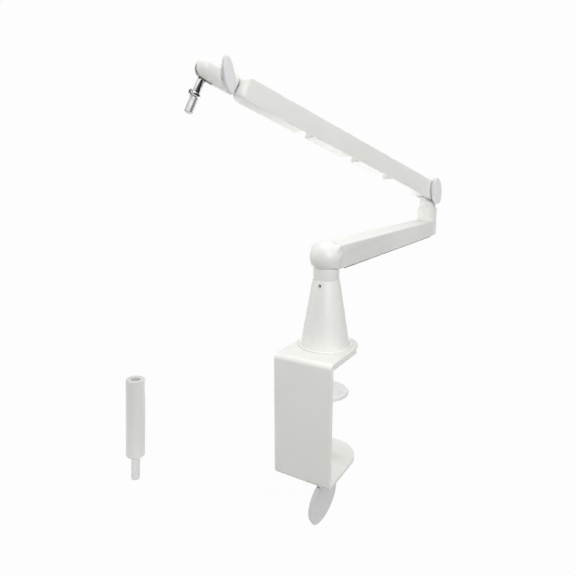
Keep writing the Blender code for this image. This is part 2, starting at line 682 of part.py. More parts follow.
def make_set_screw():
    """Grub screw whose tip runs in the post's groove."""
    start = SPIGOT_RADIUS - POST_GROOVE + GAP
    face = start + SET_SCREW_LENGTH
    screw = piece("base_set_screw", along_y(rod(SET_SCREW_RADIUS, -face, -start, SMALL_STEPS)),
                  "steel", None, (0, 0, SET_SCREW_HEIGHT))
    hexagon = circle(SET_SCREW_HEX_RADIUS, 6)
    cut(screw, along_y(prism(hexagon, -face - PAST, -face + SET_SCREW_HEX_DEPTH)))


# Lower arm
def make_lower_arm():
    swivel = axis_frame("base_swivel")
    make_post(swivel)
    make_lower_tube(swivel)
    make_lower_covers(swivel)
    make_base_end(swivel)
    make_elbow_end(swivel)
    return swivel


def make_post(swivel):
    """Spigot, collar and boss, bored for the bolt that holds the arm down."""
    bore = POST_BOLT_RADIUS + GAP
    head = POST_BOLT_HEAD_RADIUS + GAP
    head_top = SPIGOT_BOTTOM + POST_BOLT_HEAD + 2 * GAP
    groove_low = SET_SCREW_HEIGHT - POST_GROOVE_WIDTH / 2
    groove_high = SET_SCREW_HEIGHT + POST_GROOVE_WIDTH / 2
    groove = SPIGOT_RADIUS - POST_GROOVE
    boss_top = COLLAR_TOP + POST_BOSS
    piece("lower_arm_post", turned(rounded([
        (head, SPIGOT_BOTTOM, 0), (SPIGOT_RADIUS, SPIGOT_BOTTOM, 0), (SPIGOT_RADIUS, groove_low, 0),
        (groove, groove_low, 0), (groove, groove_high, 0), (SPIGOT_RADIUS, groove_high, 0),
        (SPIGOT_RADIUS, COLLAR_BOTTOM, 0), (COLLAR_RADIUS, COLLAR_BOTTOM, COLLAR_EDGE),
        (COLLAR_RADIUS, COLLAR_TOP, COLLAR_EDGE), (POST_BOSS_RADIUS, COLLAR_TOP, 0),
        (POST_BOSS_RADIUS, boss_top, 0), (bore, boss_top, 0), (bore, head_top, 0), (head, head_top, 0)])),
        "white_paint", swivel)
    reach = COLLAR_TOP + POST_BOLT_GRIP - head_top
    piece("post_bolt", headed_screw(POST_BOLT_RADIUS, POST_BOLT_HEAD_RADIUS, POST_BOLT_HEAD, reach),
          "steel", swivel, (0, 0, head_top - GAP))


def lower_section(inset):
    half = LOWER_WIDTH / 2 - inset
    corner = max(ARM_EDGE - inset, ARM_INSIDE_CORNER)
    return rectangle(-half, ARM_BOTTOM + inset, half, ARM_TOP - inset, corner)


def make_lower_tube(swivel):
    start = BASE_CAP_LENGTH + GAP
    end = LOWER_LENGTH - ELBOW_CAP_LENGTH - GAP
    arm = piece("lower_arm_tube", along_y(prism(lower_section(0), start, end)), "white_paint", swivel)
    inside = along_y(prism(lower_section(ARM_WALL), start - PAST, end + PAST))
    cut(arm, inside)
    wall_top = ARM_BOTTOM + ARM_WALL + PAST
    cut(arm, rod(POST_BOSS_RADIUS + GAP, ARM_BOTTOM - PAST, wall_top))
    cut(arm, base_ball(BASE_BALL_RADIUS + GAP, ARM_BOTTOM - PAST))
    for span in lower_cover_spans():
        for y in peg_places(span):
            cut(arm, moved(rod(COVER_PEG_RADIUS + GAP, ARM_BOTTOM - PAST, wall_top, SMALL_STEPS), (0, y, 0)))


def lower_cover_spans():
    """Start and end of each lower cover along the arm."""
    first = COLLAR_RADIUS + LOWER_COVER_ROOM
    length = LOWER_LENGTH - ELBOW_CAP_LENGTH - LOWER_COVER_ROOM - first
    return [(first + length * start, first + length * end) for start, end in LOWER_COVER_SHARES]


def peg_places(span):
    """Distances along the lower arm of a cover's two pegs, clear of the end caps' plugs."""
    inset = CAP_PLUG + 2 * GAP + COVER_PEG_RADIUS - LOWER_COVER_ROOM
    return span[0] + inset, span[1] - inset


def make_lower_covers(swivel):
    """Flat covers under the lower arm, each held by two pegs in the tube's wall."""
    top = ARM_BOTTOM - GAP
    peg_top = ARM_BOTTOM + ARM_WALL + COVER_PEG_STANDOUT
    half = LOWER_WIDTH / 2 - LOWER_COVER_SIDE
    for number, span in enumerate(lower_cover_spans(), 1):
        plate = block((-half, span[0], top - LOWER_COVER), (half, span[1], top))
        cover = piece(f"lower_cover_{number}", plate, "white_plastic", swivel, edge=LOWER_COVER_EDGE)
        for y in peg_places(span):
            peg = rod(COVER_PEG_RADIUS, top - LOWER_COVER / 2, peg_top, SMALL_STEPS)
            join(cover, moved(peg, (0, y, 0)))


def lower_plug(start, end):
    """Plug of an end cap, inside the lower arm's tube."""
    return along_y(prism(lower_section(ARM_WALL + GAP), start, end))


def base_ball(radius, low):
    """Ball over the base's axis, cut flat at height low."""
    middle = ARM_TOP - BASE_BALL_DEPTH
    start = degrees(asin((low - middle) / radius))
    side = arc((0, middle), radius, start, 90, ROUND_STEPS // 3)
    side[-1] = (0, middle + radius)
    return turned([(0, low)] + side)


def make_base_end(swivel):
    end = domed_end(LOWER_WIDTH / 2, ARM_BOTTOM, ARM_TOP, BASE_CAP_LENGTH,
                    BASE_END_CROWN, BASE_END_FOOT, ARM_EDGE)
    cap = piece("lower_arm_base_end", turned_over(end, -90, "Z"), "white_paint", swivel)
    join(cap, base_ball(BASE_BALL_RADIUS, ARM_BOTTOM))
    join(cap, lower_plug(BASE_CAP_LENGTH - SOLID_OVERLAP, BASE_CAP_LENGTH + CAP_PLUG))
    boss = POST_BOSS_RADIUS + GAP
    boss_top = COLLAR_TOP + POST_BOSS + GAP
    thread = POST_BOLT_RADIUS + GAP
    thread_top = COLLAR_TOP + POST_BOLT_GRIP + 2 * GAP
    cut(cap, turned([(0, ARM_BOTTOM - PAST), (boss, ARM_BOTTOM - PAST), (boss, boss_top), (thread, boss_top),
                     (thread, thread_top), (0, thread_top)]))


def make_elbow_end(swivel):
    """Rounded end that holds the elbow's lower bush, with a recess closed from below."""
    place = (0, LOWER_LENGTH, 0)
    end = domed_end(LOWER_WIDTH / 2, ARM_BOTTOM, ARM_TOP, ELBOW_CAP_LENGTH,
                    ELBOW_END_CROWN, ELBOW_END_FOOT, ARM_EDGE)
    cap = piece("lower_arm_elbow_end", turned_over(end, 90, "Z"), "white_paint", swivel, place)
    join(cap, lower_plug(-ELBOW_CAP_LENGTH - CAP_PLUG, -ELBOW_CAP_LENGTH + SOLID_OVERLAP))
    bush = ELBOW_SHAFT_RADIUS + ELBOW_BUSH_WALL + 2 * GAP
    ledge = recess_top()
    plug_top = ARM_BOTTOM + ELBOW_PLUG + GAP
    wide = ELBOW_RECESS_RADIUS + ELBOW_PLUG_STEP
    cut(cap, turned([(0, ARM_BOTTOM - PAST), (wide, ARM_BOTTOM - PAST), (wide, plug_top),
                     (ELBOW_RECESS_RADIUS, plug_top), (ELBOW_RECESS_RADIUS, ledge),
                     (bush, ledge), (bush, ARM_TOP + PAST), (0, ARM_TOP + PAST)]))
    plug = rod(wide - GAP, ARM_BOTTOM, ARM_BOTTOM + ELBOW_PLUG)
    piece("elbow_bottom_plug", plug, "white_plastic", swivel, place)
    inner = ELBOW_SHAFT_RADIUS + GAP
    outer = bush - GAP
    lower_bush = tube(inner, outer, ledge, ARM_TOP - GAP)
    piece("elbow_lower_bush", lower_bush, "bearing_plastic", swivel, place)
    upper_bush = tube(inner, outer, SLEEVE_BOTTOM + GAP, SLEEVE_TOP - GAP)
    piece("elbow_upper_bush", upper_bush, "bearing_plastic", swivel, place)
    sleeve = tube(bush, SLEEVE_RADIUS, SLEEVE_BOTTOM, SLEEVE_TOP, SLEEVE_EDGE)
    piece("elbow_sleeve", sleeve, "white_paint", swivel, place)


def recess_top():
    """Height of the ledge that the elbow's washer and nut pull against."""
    return ARM_BOTTOM + ELBOW_PLUG + 3 * GAP + ELBOW_NUT + ELBOW_WASHER + GAP


# Elbow yoke
def make_yoke(lower_arm):
    heading = Matrix.Rotation(radians(UPPER_HEADING), 4, "Z")
    turn = axis_frame("elbow_swivel", lower_arm, (0, LOWER_LENGTH, 0), heading)
    nut_bottom = ARM_BOTTOM + ELBOW_PLUG + 2 * GAP
    neck_top = NECK_BOTTOM + NECK_HEIGHT
    yoke = piece("elbow_yoke", turned(rounded([
        (0, nut_bottom, 0), (ELBOW_SHAFT_RADIUS, nut_bottom, 0), (ELBOW_SHAFT_RADIUS, NECK_BOTTOM, 0),
        (NECK_RADIUS, NECK_BOTTOM, NECK_EDGE), (NECK_RADIUS, neck_top, NECK_EDGE), (0, neck_top, 0)])),
        "white_paint", turn)
    low = neck_top - SOLID_OVERLAP
    tongue = [(-YOKE_ROUND + PIVOT_OFFSET, low), (YOKE_ROUND, low)]
    tongue += arc((PIVOT_OFFSET, PIVOT_HEIGHT), YOKE_ROUND, 0, 180, ROUND_STEPS // 2)
    join(yoke, along_y(prism(tongue, -YOKE_THICKNESS / 2, YOKE_THICKNESS / 2)))
    cut(yoke, along_y(rod(BOLT_RADIUS + GAP, -UPPER_WIDTH, UPPER_WIDTH, SMALL_STEPS),
                      (PIVOT_OFFSET, 0, PIVOT_HEIGHT)))
    inner = ELBOW_SHAFT_RADIUS + GAP
    nut_top = nut_bottom + ELBOW_NUT
    nut = piece("elbow_nut", prism(circle(ELBOW_NUT_RADIUS, 6), nut_bottom, nut_top), "steel", turn)
    cut(nut, rod(inner, nut_bottom - PAST, nut_top + PAST))
    washer_low = nut_top + GAP
    washer = tube(inner, ELBOW_RECESS_RADIUS - GAP, washer_low, washer_low + ELBOW_WASHER)
    piece("elbow_washer", washer, "steel", turn)
    return turn


# Upper arm
def upper_profile():
    """Outside of the arm's section in (y, z): a box with one side carried down as a skirt."""
    half = UPPER_WIDTH / 2
    low = -UPPER_HEIGHT / 2
    high = UPPER_HEIGHT / 2
    skirt = half - UPPER_WALL
    return rounded([(-half, BOX_FLOOR, 0), (skirt, BOX_FLOOR, 0), (skirt, low, 0), (half, low, SKIRT_EDGE),
                    (half, high, ARM_EDGE), (-half, high, ARM_EDGE)])


def upper_box(inset):
    """Inside of the closed box, in (y, z)."""
    half = UPPER_WIDTH / 2 - inset
    return rectangle(-half, BOX_FLOOR + inset, half, UPPER_HEIGHT / 2 - inset)


def make_upper_arm(yoke_turn):
    place = (PIVOT_OFFSET, 0, PIVOT_HEIGHT)
    tilt = axis_frame("elbow_tilt", yoke_turn, place, Matrix.Rotation(radians(-UPPER_PITCH), 4, "Y"))
    arm = piece("upper_arm_tube", along_x(prism(upper_profile(), TUBE_START, TUBE_END)), "white_paint", tilt)
    cut(arm, along_x(prism(upper_box(UPPER_WALL), TUBE_START - PAST, TUBE_END + PAST)))
    fork_screw = TUBE_START + CAP_PLUG / 2
    head_screw = TUBE_END - CAP_PLUG / 2
    cut(arm, merged([cap_screw_hole(fork_screw), cap_screw_hole(head_screw)]))
    make_fork(tilt, fork_screw)
    make_head_end(tilt, head_screw)
    for name, x in (("fork_screw", fork_screw), ("head_end_screw", head_screw)):
        screw = headed_screw(CAP_SCREW_RADIUS, CAP_SCREW_HEAD_RADIUS, CAP_SCREW_HEAD, CAP_SCREW_REACH)
        piece(name, screw, "steel", tilt, (x, 0, BOX_FLOOR - GAP))
    return tilt


def cap_screw_hole(x):
    """Cutter for the screw that holds an end's plug, at x along the arm."""
    hole = rod(CAP_SCREW_RADIUS + GAP, BOX_FLOOR - PAST, BOX_FLOOR + CAP_SCREW_REACH, SMALL_STEPS)
    return moved(hole, (x, 0, 0))


def make_fork(tilt, screw_at):
    """Elbow end: two cheeks round the yoke's tongue and a plug inside the tube."""
    half = UPPER_WIDTH / 2
    tall = UPPER_HEIGHT / 2
    outline = arc((0, 0), tall, 90, 270, ROUND_STEPS // 2) + [(FORK_LENGTH, -tall), (FORK_LENGTH, tall)]
    fork = piece("upper_arm_fork", along_y(prism(outline, -half, half)), "white_paint", tilt, edge=FORK_EDGE)
    plug_end = FORK_LENGTH + CAP_PLUG
    join(fork, along_x(prism(upper_box(UPPER_WALL + GAP), FORK_LENGTH - SOLID_OVERLAP, plug_end)))
    cut(fork, block((-tall - PAST, -FORK_SLOT_HALF, -tall - PAST), (FORK_ROOT, FORK_SLOT_HALF, tall + PAST)))
    cut(fork, along_y(rod(BOLT_RADIUS + GAP, -half - PAST, half + PAST, SMALL_STEPS)))
    cut(fork, cap_screw_hole(screw_at))
    reach = UPPER_WIDTH + GAP + KNOB_STANDOFF + INSERT_LENGTH
    bolt = headed_screw(BOLT_RADIUS, BOLT_HEAD_RADIUS, BOLT_HEAD, reach, KNOB_STEPS)
    piece("elbow_bolt", along_y(bolt, (0, -half - GAP, 0)), "steel", tilt)
    inner = BOLT_RADIUS + GAP
    near = YOKE_THICKNESS / 2 + GAP
    for number, low in enumerate((near, -near - FRICTION_WASHER), 1):
        washer = tube(inner, FRICTION_WASHER_RADIUS, low, low + FRICTION_WASHER)
        piece(f"elbow_friction_washer_{number}", along_y(washer), "bearing_plastic", tilt)


def make_head_end(tilt, screw_at):
    """Rounded end that carries the head's swivel shaft."""
    half = UPPER_HEIGHT / 2
    end = domed_end(UPPER_WIDTH / 2, -half, half, HEAD_CAP_LENGTH, HEAD_END_CROWN, HEAD_END_FOOT, ARM_EDGE)
    cap = piece("upper_arm_head_end", moved(end, (UPPER_LENGTH, 0, 0)), "white_paint", tilt)
    seam = UPPER_LENGTH - HEAD_CAP_LENGTH
    join(cap, along_x(prism(upper_box(UPPER_WALL + GAP), seam - CAP_PLUG, seam + SOLID_OVERLAP)))
    nose = UPPER_LENGTH + UPPER_WIDTH / 2
    cut(cap, along_x(rod(HEAD_SHAFT_RADIUS + GAP, nose - HEAD_SHAFT_ROOT - GAP, nose + PAST)))
    cut(cap, cap_screw_hole(screw_at))
    piece("head_swivel_shaft", head_shaft(nose), "steel", tilt)
    inner = HEAD_SHAFT_RADIUS + GAP
    washer = tube(inner, inner + HEAD_WASHER_WIDTH, nose + GAP, nose + GAP + HEAD_WASHER)
    piece("head_washer", along_x(washer), "bearing_plastic", tilt)


def head_shaft(nose):
    """Shaft with the groove that the head's lock screw runs in."""
    groove_start = HEAD_START + HEAD_KNOB_AT - HEAD_GROOVE_WIDTH / 2
    groove_end = groove_start + HEAD_GROOVE_WIDTH
    groove = HEAD_SHAFT_RADIUS - HEAD_GROOVE
    low = nose - HEAD_SHAFT_ROOT
    high = nose + HEAD_SHAFT_LENGTH
    return along_x(turned([(0, low), (HEAD_SHAFT_RADIUS, low), (HEAD_SHAFT_RADIUS, groove_start),
                           (groove, groove_start), (groove, groove_end), (HEAD_SHAFT_RADIUS, groove_end),
                           (HEAD_SHAFT_RADIUS, high), (0, high)]))


def make_cable_covers(tilt):
    """Covers of L section: a floor under the channel and a lip that closes its open side."""
    half = UPPER_WIDTH / 2
    low = -UPPER_HEIGHT / 2
    near = half - UPPER_WALL - GAP
    lip_top = BOX_FLOOR - GAP
    section = rounded([(-half, low, COVER_EDGE), (near, low, 0), (near, low + COVER_WALL, 0),
                       (-half + COVER_WALL, low + COVER_WALL, 0), (-half + COVER_WALL, lip_top, 0),
                       (-half, lip_top, 0)])
    length = TUBE_END - TUBE_START
    for number, (start, end) in enumerate(COVER_SHARES, 1):
        middle = TUBE_START + length * (start + end) / 2
        reach = length * (end - start) / 2
        cover = along_x(prism(section, -reach, reach))
        piece(f"cable_cover_{number}", cover, "white_plastic", tilt, (middle, 0, 0))


# Knobs
def knob_blade(length, width):
    """Oval blade beside the arm, square to Y."""
    start = KNOB_FACE + KNOB_STANDOFF
    return along_y(prism(leaf(length, width), start, start + KNOB_THICKNESS))


def knob_boss():
    end = KNOB_FACE + KNOB_STANDOFF + SOLID_OVERLAP
    return along_y(rod(KNOB_BOSS_RADIUS, KNOB_FACE, end, KNOB_STEPS))


def make_elbow_knob(tilt):
    lean = Matrix.Rotation(radians(KNOB_LEAN), 4, "Y")
    turn = axis_frame("elbow_knob_turn", tilt, (0, 0, 0), lean)
    blade = knob_blade(ELBOW_KNOB_LENGTH, ELBOW_KNOB_WIDTH)
    knob = piece("elbow_knob", blade, "white_plastic", turn, edge=KNOB_EDGE)
    join(knob, knob_boss())
    floor = KNOB_FACE + KNOB_STANDOFF + INSERT_LENGTH
    start = KNOB_FACE + KNOB_STANDOFF - INSERT_STANDOUT
    cut(knob, along_y(rod(INSERT_RADIUS + GAP, KNOB_FACE - PAST, floor, KNOB_STEPS)))
    insert = tube(BOLT_RADIUS + GAP, INSERT_RADIUS, start, floor - GAP, 0, KNOB_STEPS)
    piece("elbow_knob_insert", along_y(insert), "brass", turn)


# Head
def make_head(tilt):
    twist = axis_frame("head_twist", tilt, (HEAD_START, 0, 0))
    bore = HEAD_SHAFT_RADIUS + GAP
    bore_end = HEAD_SHAFT_LENGTH - HEAD_WASHER - GAP
    profile = [(0, bore_end), (bore, bore_end), (bore, 0)]
    profile += arc((HEAD_RADIUS - HEAD_EDGE, HEAD_EDGE), HEAD_EDGE, -90, 0, CORNER_STEPS)
    profile += arc((0, STUD_PIVOT_AT), HEAD_RADIUS, 0, 90, ROUND_STEPS // 3)
    profile[-1] = (0, STUD_PIVOT_AT + HEAD_RADIUS)
    housing = piece("head_housing", along_x(turned(profile)), "white_paint", twist)
    slot = HEAD_SLOT / 2
    tall = HEAD_RADIUS + PAST
    cut(housing, block((STUD_PIVOT_AT - HEAD_SLOT_ROOT, -slot, -tall), (STUD_PIVOT_AT + tall, slot, tall)))
    pin_half = STUD_PIN_LENGTH / 2 + GAP
    cut(housing, along_y(rod(STUD_PIN_RADIUS + GAP, -pin_half, pin_half, SMALL_STEPS), (STUD_PIVOT_AT, 0, 0)))
    knob_place = (HEAD_KNOB_AT, 0, 0)
    cut(housing, along_y(rod(INSERT_RADIUS + GAP, HEAD_SHAFT_RADIUS - PAST, HEAD_RADIUS + PAST, KNOB_STEPS),
                         knob_place))
    start = HEAD_SHAFT_RADIUS + 3 * GAP
    insert = tube(BOLT_RADIUS + GAP, INSERT_RADIUS, start, HEAD_RADIUS - HEAD_INSERT_DEPTH, 0, KNOB_STEPS)
    piece("head_lock_insert", along_y(insert, knob_place), "brass", twist)
    return twist


def make_head_knob(twist):
    lean = Matrix.Rotation(radians(KNOB_LEAN), 4, "Y")
    turn = axis_frame("head_knob_turn", twist, (HEAD_KNOB_AT, 0, 0), lean)
    blade = knob_blade(HEAD_KNOB_LENGTH, HEAD_KNOB_WIDTH)
    knob = piece("head_knob", blade, "white_plastic", turn, edge=KNOB_EDGE)
    join(knob, knob_boss())
    floor = KNOB_FACE + KNOB_STANDOFF + INSERT_LENGTH
    cut(knob, along_y(rod(BOLT_RADIUS + GAP, KNOB_FACE - PAST, floor, SMALL_STEPS)))
    tip = HEAD_SHAFT_RADIUS - HEAD_GROOVE + GAP
    piece("head_lock_screw", along_y(rod(BOLT_RADIUS, tip, floor - GAP, SMALL_STEPS)), "steel", turn)


def make_stud(twist):
    """Chromed stud: an eye in the housing's slot, a round shaft and a thread for the lock ring."""
    lean = Matrix.Rotation(radians(-STUD_LEAN), 4, "Y")
    tilt = axis_frame("stud_tilt", twist, (STUD_PIVOT_AT, 0, 0), lean)
    eye = HEAD_SLOT / 2 - GAP
    stud = piece("mic_stud", along_y(rod(STUD_EYE_RADIUS, -eye, eye)), "chrome", tilt)
    rim = eye - STUD_RIM_INSET
    join(stud, along_y(rod(STUD_RIM_RADIUS, -rim, rim)))
    join(stud, block((-STUD_TAB_HALF, -eye, -STUD_SHAFT_START - SOLID_OVERLAP), (STUD_TAB_HALF, eye, 0)))
    thread_end = STUD_TIP_START + STUD_THREAD_LENGTH
    join(stud, turned([(0, -thread_end), (STUD_THREAD_RADIUS, -thread_end),
                       (STUD_THREAD_RADIUS, -STUD_TIP_START), (STUD_SHAFT_RADIUS, -STUD_TIP_START),
                       (STUD_SHAFT_RADIUS, -STUD_SHAFT_START), (0, -STUD_SHAFT_START)]))
    cut(stud, along_y(rod(STUD_PIN_RADIUS + GAP, -HEAD_SLOT, HEAD_SLOT, SMALL_STEPS)))
    half = STUD_PIN_LENGTH / 2
    piece("stud_pivot_pin", along_y(rod(STUD_PIN_RADIUS, -half, half, SMALL_STEPS)), "steel", tilt)
    bore = STUD_THREAD_RADIUS + GAP
    top = -STUD_TIP_START - GAP
    floor = -thread_end - GAP
    tip = turned([(0, -STUD_END), (STUD_TIP_RADIUS - STUD_TIP_EDGE, -STUD_END),
                  (STUD_TIP_RADIUS, -STUD_END + STUD_TIP_EDGE), (STUD_TIP_RADIUS, top), (bore, top),
                  (bore, floor), (0, floor)], KNOB_STEPS)
    piece("mic_thread_tip", tip, "satin_metal", tilt)
    return tilt


def make_lock_ring(tilt):
    """Round nut on the stud with a looped ear to turn it by."""
    ring_turn = axis_frame("lock_ring_turn", tilt, (0, 0, -LOCK_RING_AT))
    half = LOCK_RING_THICKNESS / 2
    body = tube(STUD_SHAFT_RADIUS + GAP, LOCK_RING_RADIUS, -half, half, LOCK_RING_EDGE)
    ring = piece("mic_lock_ring", body, "chrome", ring_turn)
    half = EAR_THICKNESS / 2
    loop = tube(EAR_HOLE_RADIUS, EAR_RADIUS, -half, half, EAR_EDGE, SMALL_STEPS)
    join(ring, turned_over(along_y(loop, (EAR_AT, 0, 0)), EAR_HEADING, "Z"))


# Extension post
def make_riser():
    """Post of the collar's diameter: the same spigot below and a socket for the arm's spigot above."""
    heading = radians(RISER_HEADING)
    lean = Matrix.Rotation(radians(RISER_LEAN), 4, Vector((-sin(heading), cos(heading), 0)))
    stand = axis_frame("riser_stand", None, RISER_PLACE, lean)
    top = SPIGOT_LENGTH + RISER_LENGTH
    socket = SPIGOT_RADIUS + GAP
    floor = top - RISER_SOCKET_DEPTH
    piece("riser_tube", turned(rounded([
        (0, SPIGOT_LENGTH, 0), (COLLAR_RADIUS, SPIGOT_LENGTH, RISER_EDGE), (COLLAR_RADIUS, top, RISER_EDGE),
        (socket, top, 0), (socket, floor, 0), (0, floor, 0)])), "white_paint", stand)
    spigot = turned(rounded([(0, 0, 0), (SPIGOT_RADIUS, 0, RISER_EDGE),
                             (SPIGOT_RADIUS, SPIGOT_LENGTH - GAP, 0), (0, SPIGOT_LENGTH - GAP, 0)]))
    piece("riser_spigot", spigot, "white_paint", stand)


clear_scene()
MATERIALS = make_finishes()
make_clamp()
pad_slide = make_pressure_pad()
screw_end = make_clamp_screw(pad_slide)
make_clamp_handle(screw_end)
make_base()
lower_arm = make_lower_arm()
yoke = make_yoke(lower_arm)
upper_arm = make_upper_arm(yoke)
make_cable_covers(upper_arm)
make_elbow_knob(upper_arm)
head = make_head(upper_arm)
make_head_knob(head)
make_lock_ring(make_stud(head))
make_riser()
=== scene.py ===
"""White desk-clamp microphone boom arm, with its extension post, finished for a studio picture.

Shapes are worked in millimetres and set down in metres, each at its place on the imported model.
"""
import json
from math import cos, pi, radians, sin, tan

import bmesh
import bpy
from mathutils import Matrix, Vector


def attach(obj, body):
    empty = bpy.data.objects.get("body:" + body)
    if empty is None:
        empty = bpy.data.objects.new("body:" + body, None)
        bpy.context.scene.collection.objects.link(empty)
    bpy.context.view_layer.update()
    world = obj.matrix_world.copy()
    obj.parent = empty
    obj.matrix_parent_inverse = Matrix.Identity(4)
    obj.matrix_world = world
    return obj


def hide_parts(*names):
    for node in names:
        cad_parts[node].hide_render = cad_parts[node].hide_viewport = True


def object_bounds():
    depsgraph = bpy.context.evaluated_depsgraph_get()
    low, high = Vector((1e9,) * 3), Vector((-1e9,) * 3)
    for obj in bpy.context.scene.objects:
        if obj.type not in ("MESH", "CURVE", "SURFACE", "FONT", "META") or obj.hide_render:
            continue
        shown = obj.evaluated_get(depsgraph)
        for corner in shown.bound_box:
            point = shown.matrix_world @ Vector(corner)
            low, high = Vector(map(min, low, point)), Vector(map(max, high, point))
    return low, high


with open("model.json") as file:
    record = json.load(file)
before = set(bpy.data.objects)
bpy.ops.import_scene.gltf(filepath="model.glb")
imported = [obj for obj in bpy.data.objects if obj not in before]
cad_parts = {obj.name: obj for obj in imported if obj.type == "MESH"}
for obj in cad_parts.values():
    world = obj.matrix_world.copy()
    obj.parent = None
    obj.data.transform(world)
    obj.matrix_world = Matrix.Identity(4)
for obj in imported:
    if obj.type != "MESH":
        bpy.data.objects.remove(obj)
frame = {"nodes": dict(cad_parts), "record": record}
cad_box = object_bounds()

TINY = 1e-4  # millimetres, for merging and for the turning axis
GAP = 0.3  # between pieces that fit in each other
SEAM = 0.05  # between pieces that stand on each other
END_GAP = 0.03  # between a tube and the block in its end
PAST = 2.0  # how far a cutting tool reaches past the body
EDGES_ONLY = 60.0  # degrees, so that only square edges are rounded

# Smoothness
ROUND_STEPS = 96
SMALL_STEPS = 48
CURVE_STEPS = 24
CORNER_STEPS = 6
FINE_CORNER = 3
THREAD_STEPS = 40
THREAD_FORM = ((0, 0), (0, 0.16), (1, 0.44), (1, 0.58), (0, 0.86), (0, 1))  # root or crest, pitch's share

# Directions and units
TO_METRES = Matrix.Scale(0.001, 4)
ALONG_X = Matrix(((0, 0, 1, 0), (1, 0, 0, 0), (0, 1, 0, 0), (0, 0, 0, 1)))
ALONG_Y = Matrix(((1, 0, 0, 0), (0, 0, 1, 0), (0, 1, 0, 0), (0, 0, 0, 1)))


def shifted(x, y, z):
    return Matrix.Translation((x, y, z))


def rolled(degrees, axis):
    return Matrix.Rotation(radians(degrees), 4, axis)


# Distances between the axes, and the pose that the photograph shows
LOWER_LENGTH = 351.0
UPPER_LENGTH = 329.0
PIVOT_HEIGHT = 151.7
PIVOT_OFFSET = 2.8
HEAD_START = 342.75
HEAD_KNOB_AT = 16.0
STUD_PIVOT_AT = 36.8
LOCK_RING_AT = -31.5
YOKE_HEADING = 241.3
ARM_TILT = -20.8
STUD_TILT = -4.6
KNOB_LEAN = 29.0
PAD_HEIGHT = -40.5
SCREW_END_AT = -126.0
SCREW_HEADING = 56.0
HANDLE_TILT = 22.0
RISER_FOOT = (-285.9, -7.7, -238.1)
RISER_HEADING = 48.46
RISER_LEAN = 3.84

# Places of the bodies, in the order that they hang on each other
BASE = Matrix.Identity(4)
ELBOW = shifted(0, LOWER_LENGTH, 0)
YOKE = ELBOW @ rolled(YOKE_HEADING, "Z")
ARM = YOKE @ shifted(PIVOT_OFFSET, 0, PIVOT_HEIGHT) @ rolled(ARM_TILT, "Y")
HEAD = ARM @ shifted(HEAD_START, 0, 0)
STUD = HEAD @ shifted(STUD_PIVOT_AT, 0, 0) @ rolled(STUD_TILT, "Y")
LOCK_RING = STUD @ shifted(0, 0, LOCK_RING_AT)
ELBOW_KNOB = ARM @ rolled(KNOB_LEAN, "Y")
HEAD_KNOB = HEAD @ shifted(HEAD_KNOB_AT, 0, 0) @ rolled(KNOB_LEAN, "Y")
PAD = shifted(0, 0, PAD_HEIGHT)
SCREW_END = PAD @ shifted(0, 0, SCREW_END_AT) @ rolled(SCREW_HEADING, "Z")
HANDLE = SCREW_END @ rolled(HANDLE_TILT, "Y")
RISER = (shifted(*RISER_FOOT) @ rolled(RISER_HEADING, "Z") @ rolled(RISER_LEAN, "Y")
         @ rolled(-RISER_HEADING, "Z"))


# Modelling with bmesh
def outline(corners, steps=CORNER_STEPS):
    """Flat face through (x, y, radius) corners, each rounded by its own radius."""
    shape = bmesh.new()
    points = [shape.verts.new((x, y, 0)) for x, y, _ in corners]
    shape.faces.new(points)
    for index, (x, y, radius) in enumerate(corners):
        if not radius:
            continue
        before = Vector(corners[index - 1][:2]) - Vector((x, y))
        after = Vector(corners[(index + 1) % len(corners)][:2]) - Vector((x, y))
        reach = radius / tan(before.angle(after) / 2)
        bmesh.ops.bevel(shape, geom=[points[index]], offset=reach, offset_type="OFFSET",
                        segments=steps, profile=0.5, affect="VERTICES", material=-1)
    bmesh.ops.remove_doubles(shape, verts=shape.verts, dist=TINY)
    return shape


def oval(length, width):
    """Flat oval with its long side along Y."""
    shape = bmesh.new()
    bmesh.ops.create_circle(shape, cap_ends=True, radius=0.5, segments=ROUND_STEPS)
    bmesh.ops.scale(shape, vec=(width, length, 1), verts=shape.verts)
    return shape


def round_face(radius, steps=SMALL_STEPS):
    shape = bmesh.new()
    bmesh.ops.create_circle(shape, cap_ends=True, radius=radius, segments=steps)
    return shape


def slab(face, low, high):
    """Flat face, extruded along Z from low to high."""
    bmesh.ops.translate(face, verts=face.verts, vec=(0, 0, low))
    grown = bmesh.ops.extrude_face_region(face, geom=list(face.faces))
    lifted = [part for part in grown["geom"] if isinstance(part, bmesh.types.BMVert)]
    bmesh.ops.translate(face, verts=lifted, vec=(0, 0, high - low))
    bmesh.ops.recalc_face_normals(face, faces=face.faces)
    return face


def rod(radius, low, high, steps=SMALL_STEPS):
    return slab(round_face(radius, steps), low, high)


def block(low, high):
    """Box between two opposite corners."""
    corners = [(low[0], low[1], 0), (high[0], low[1], 0), (high[0], high[1], 0), (low[0], high[1], 0)]
    return slab(outline(corners), low[2], high[2])


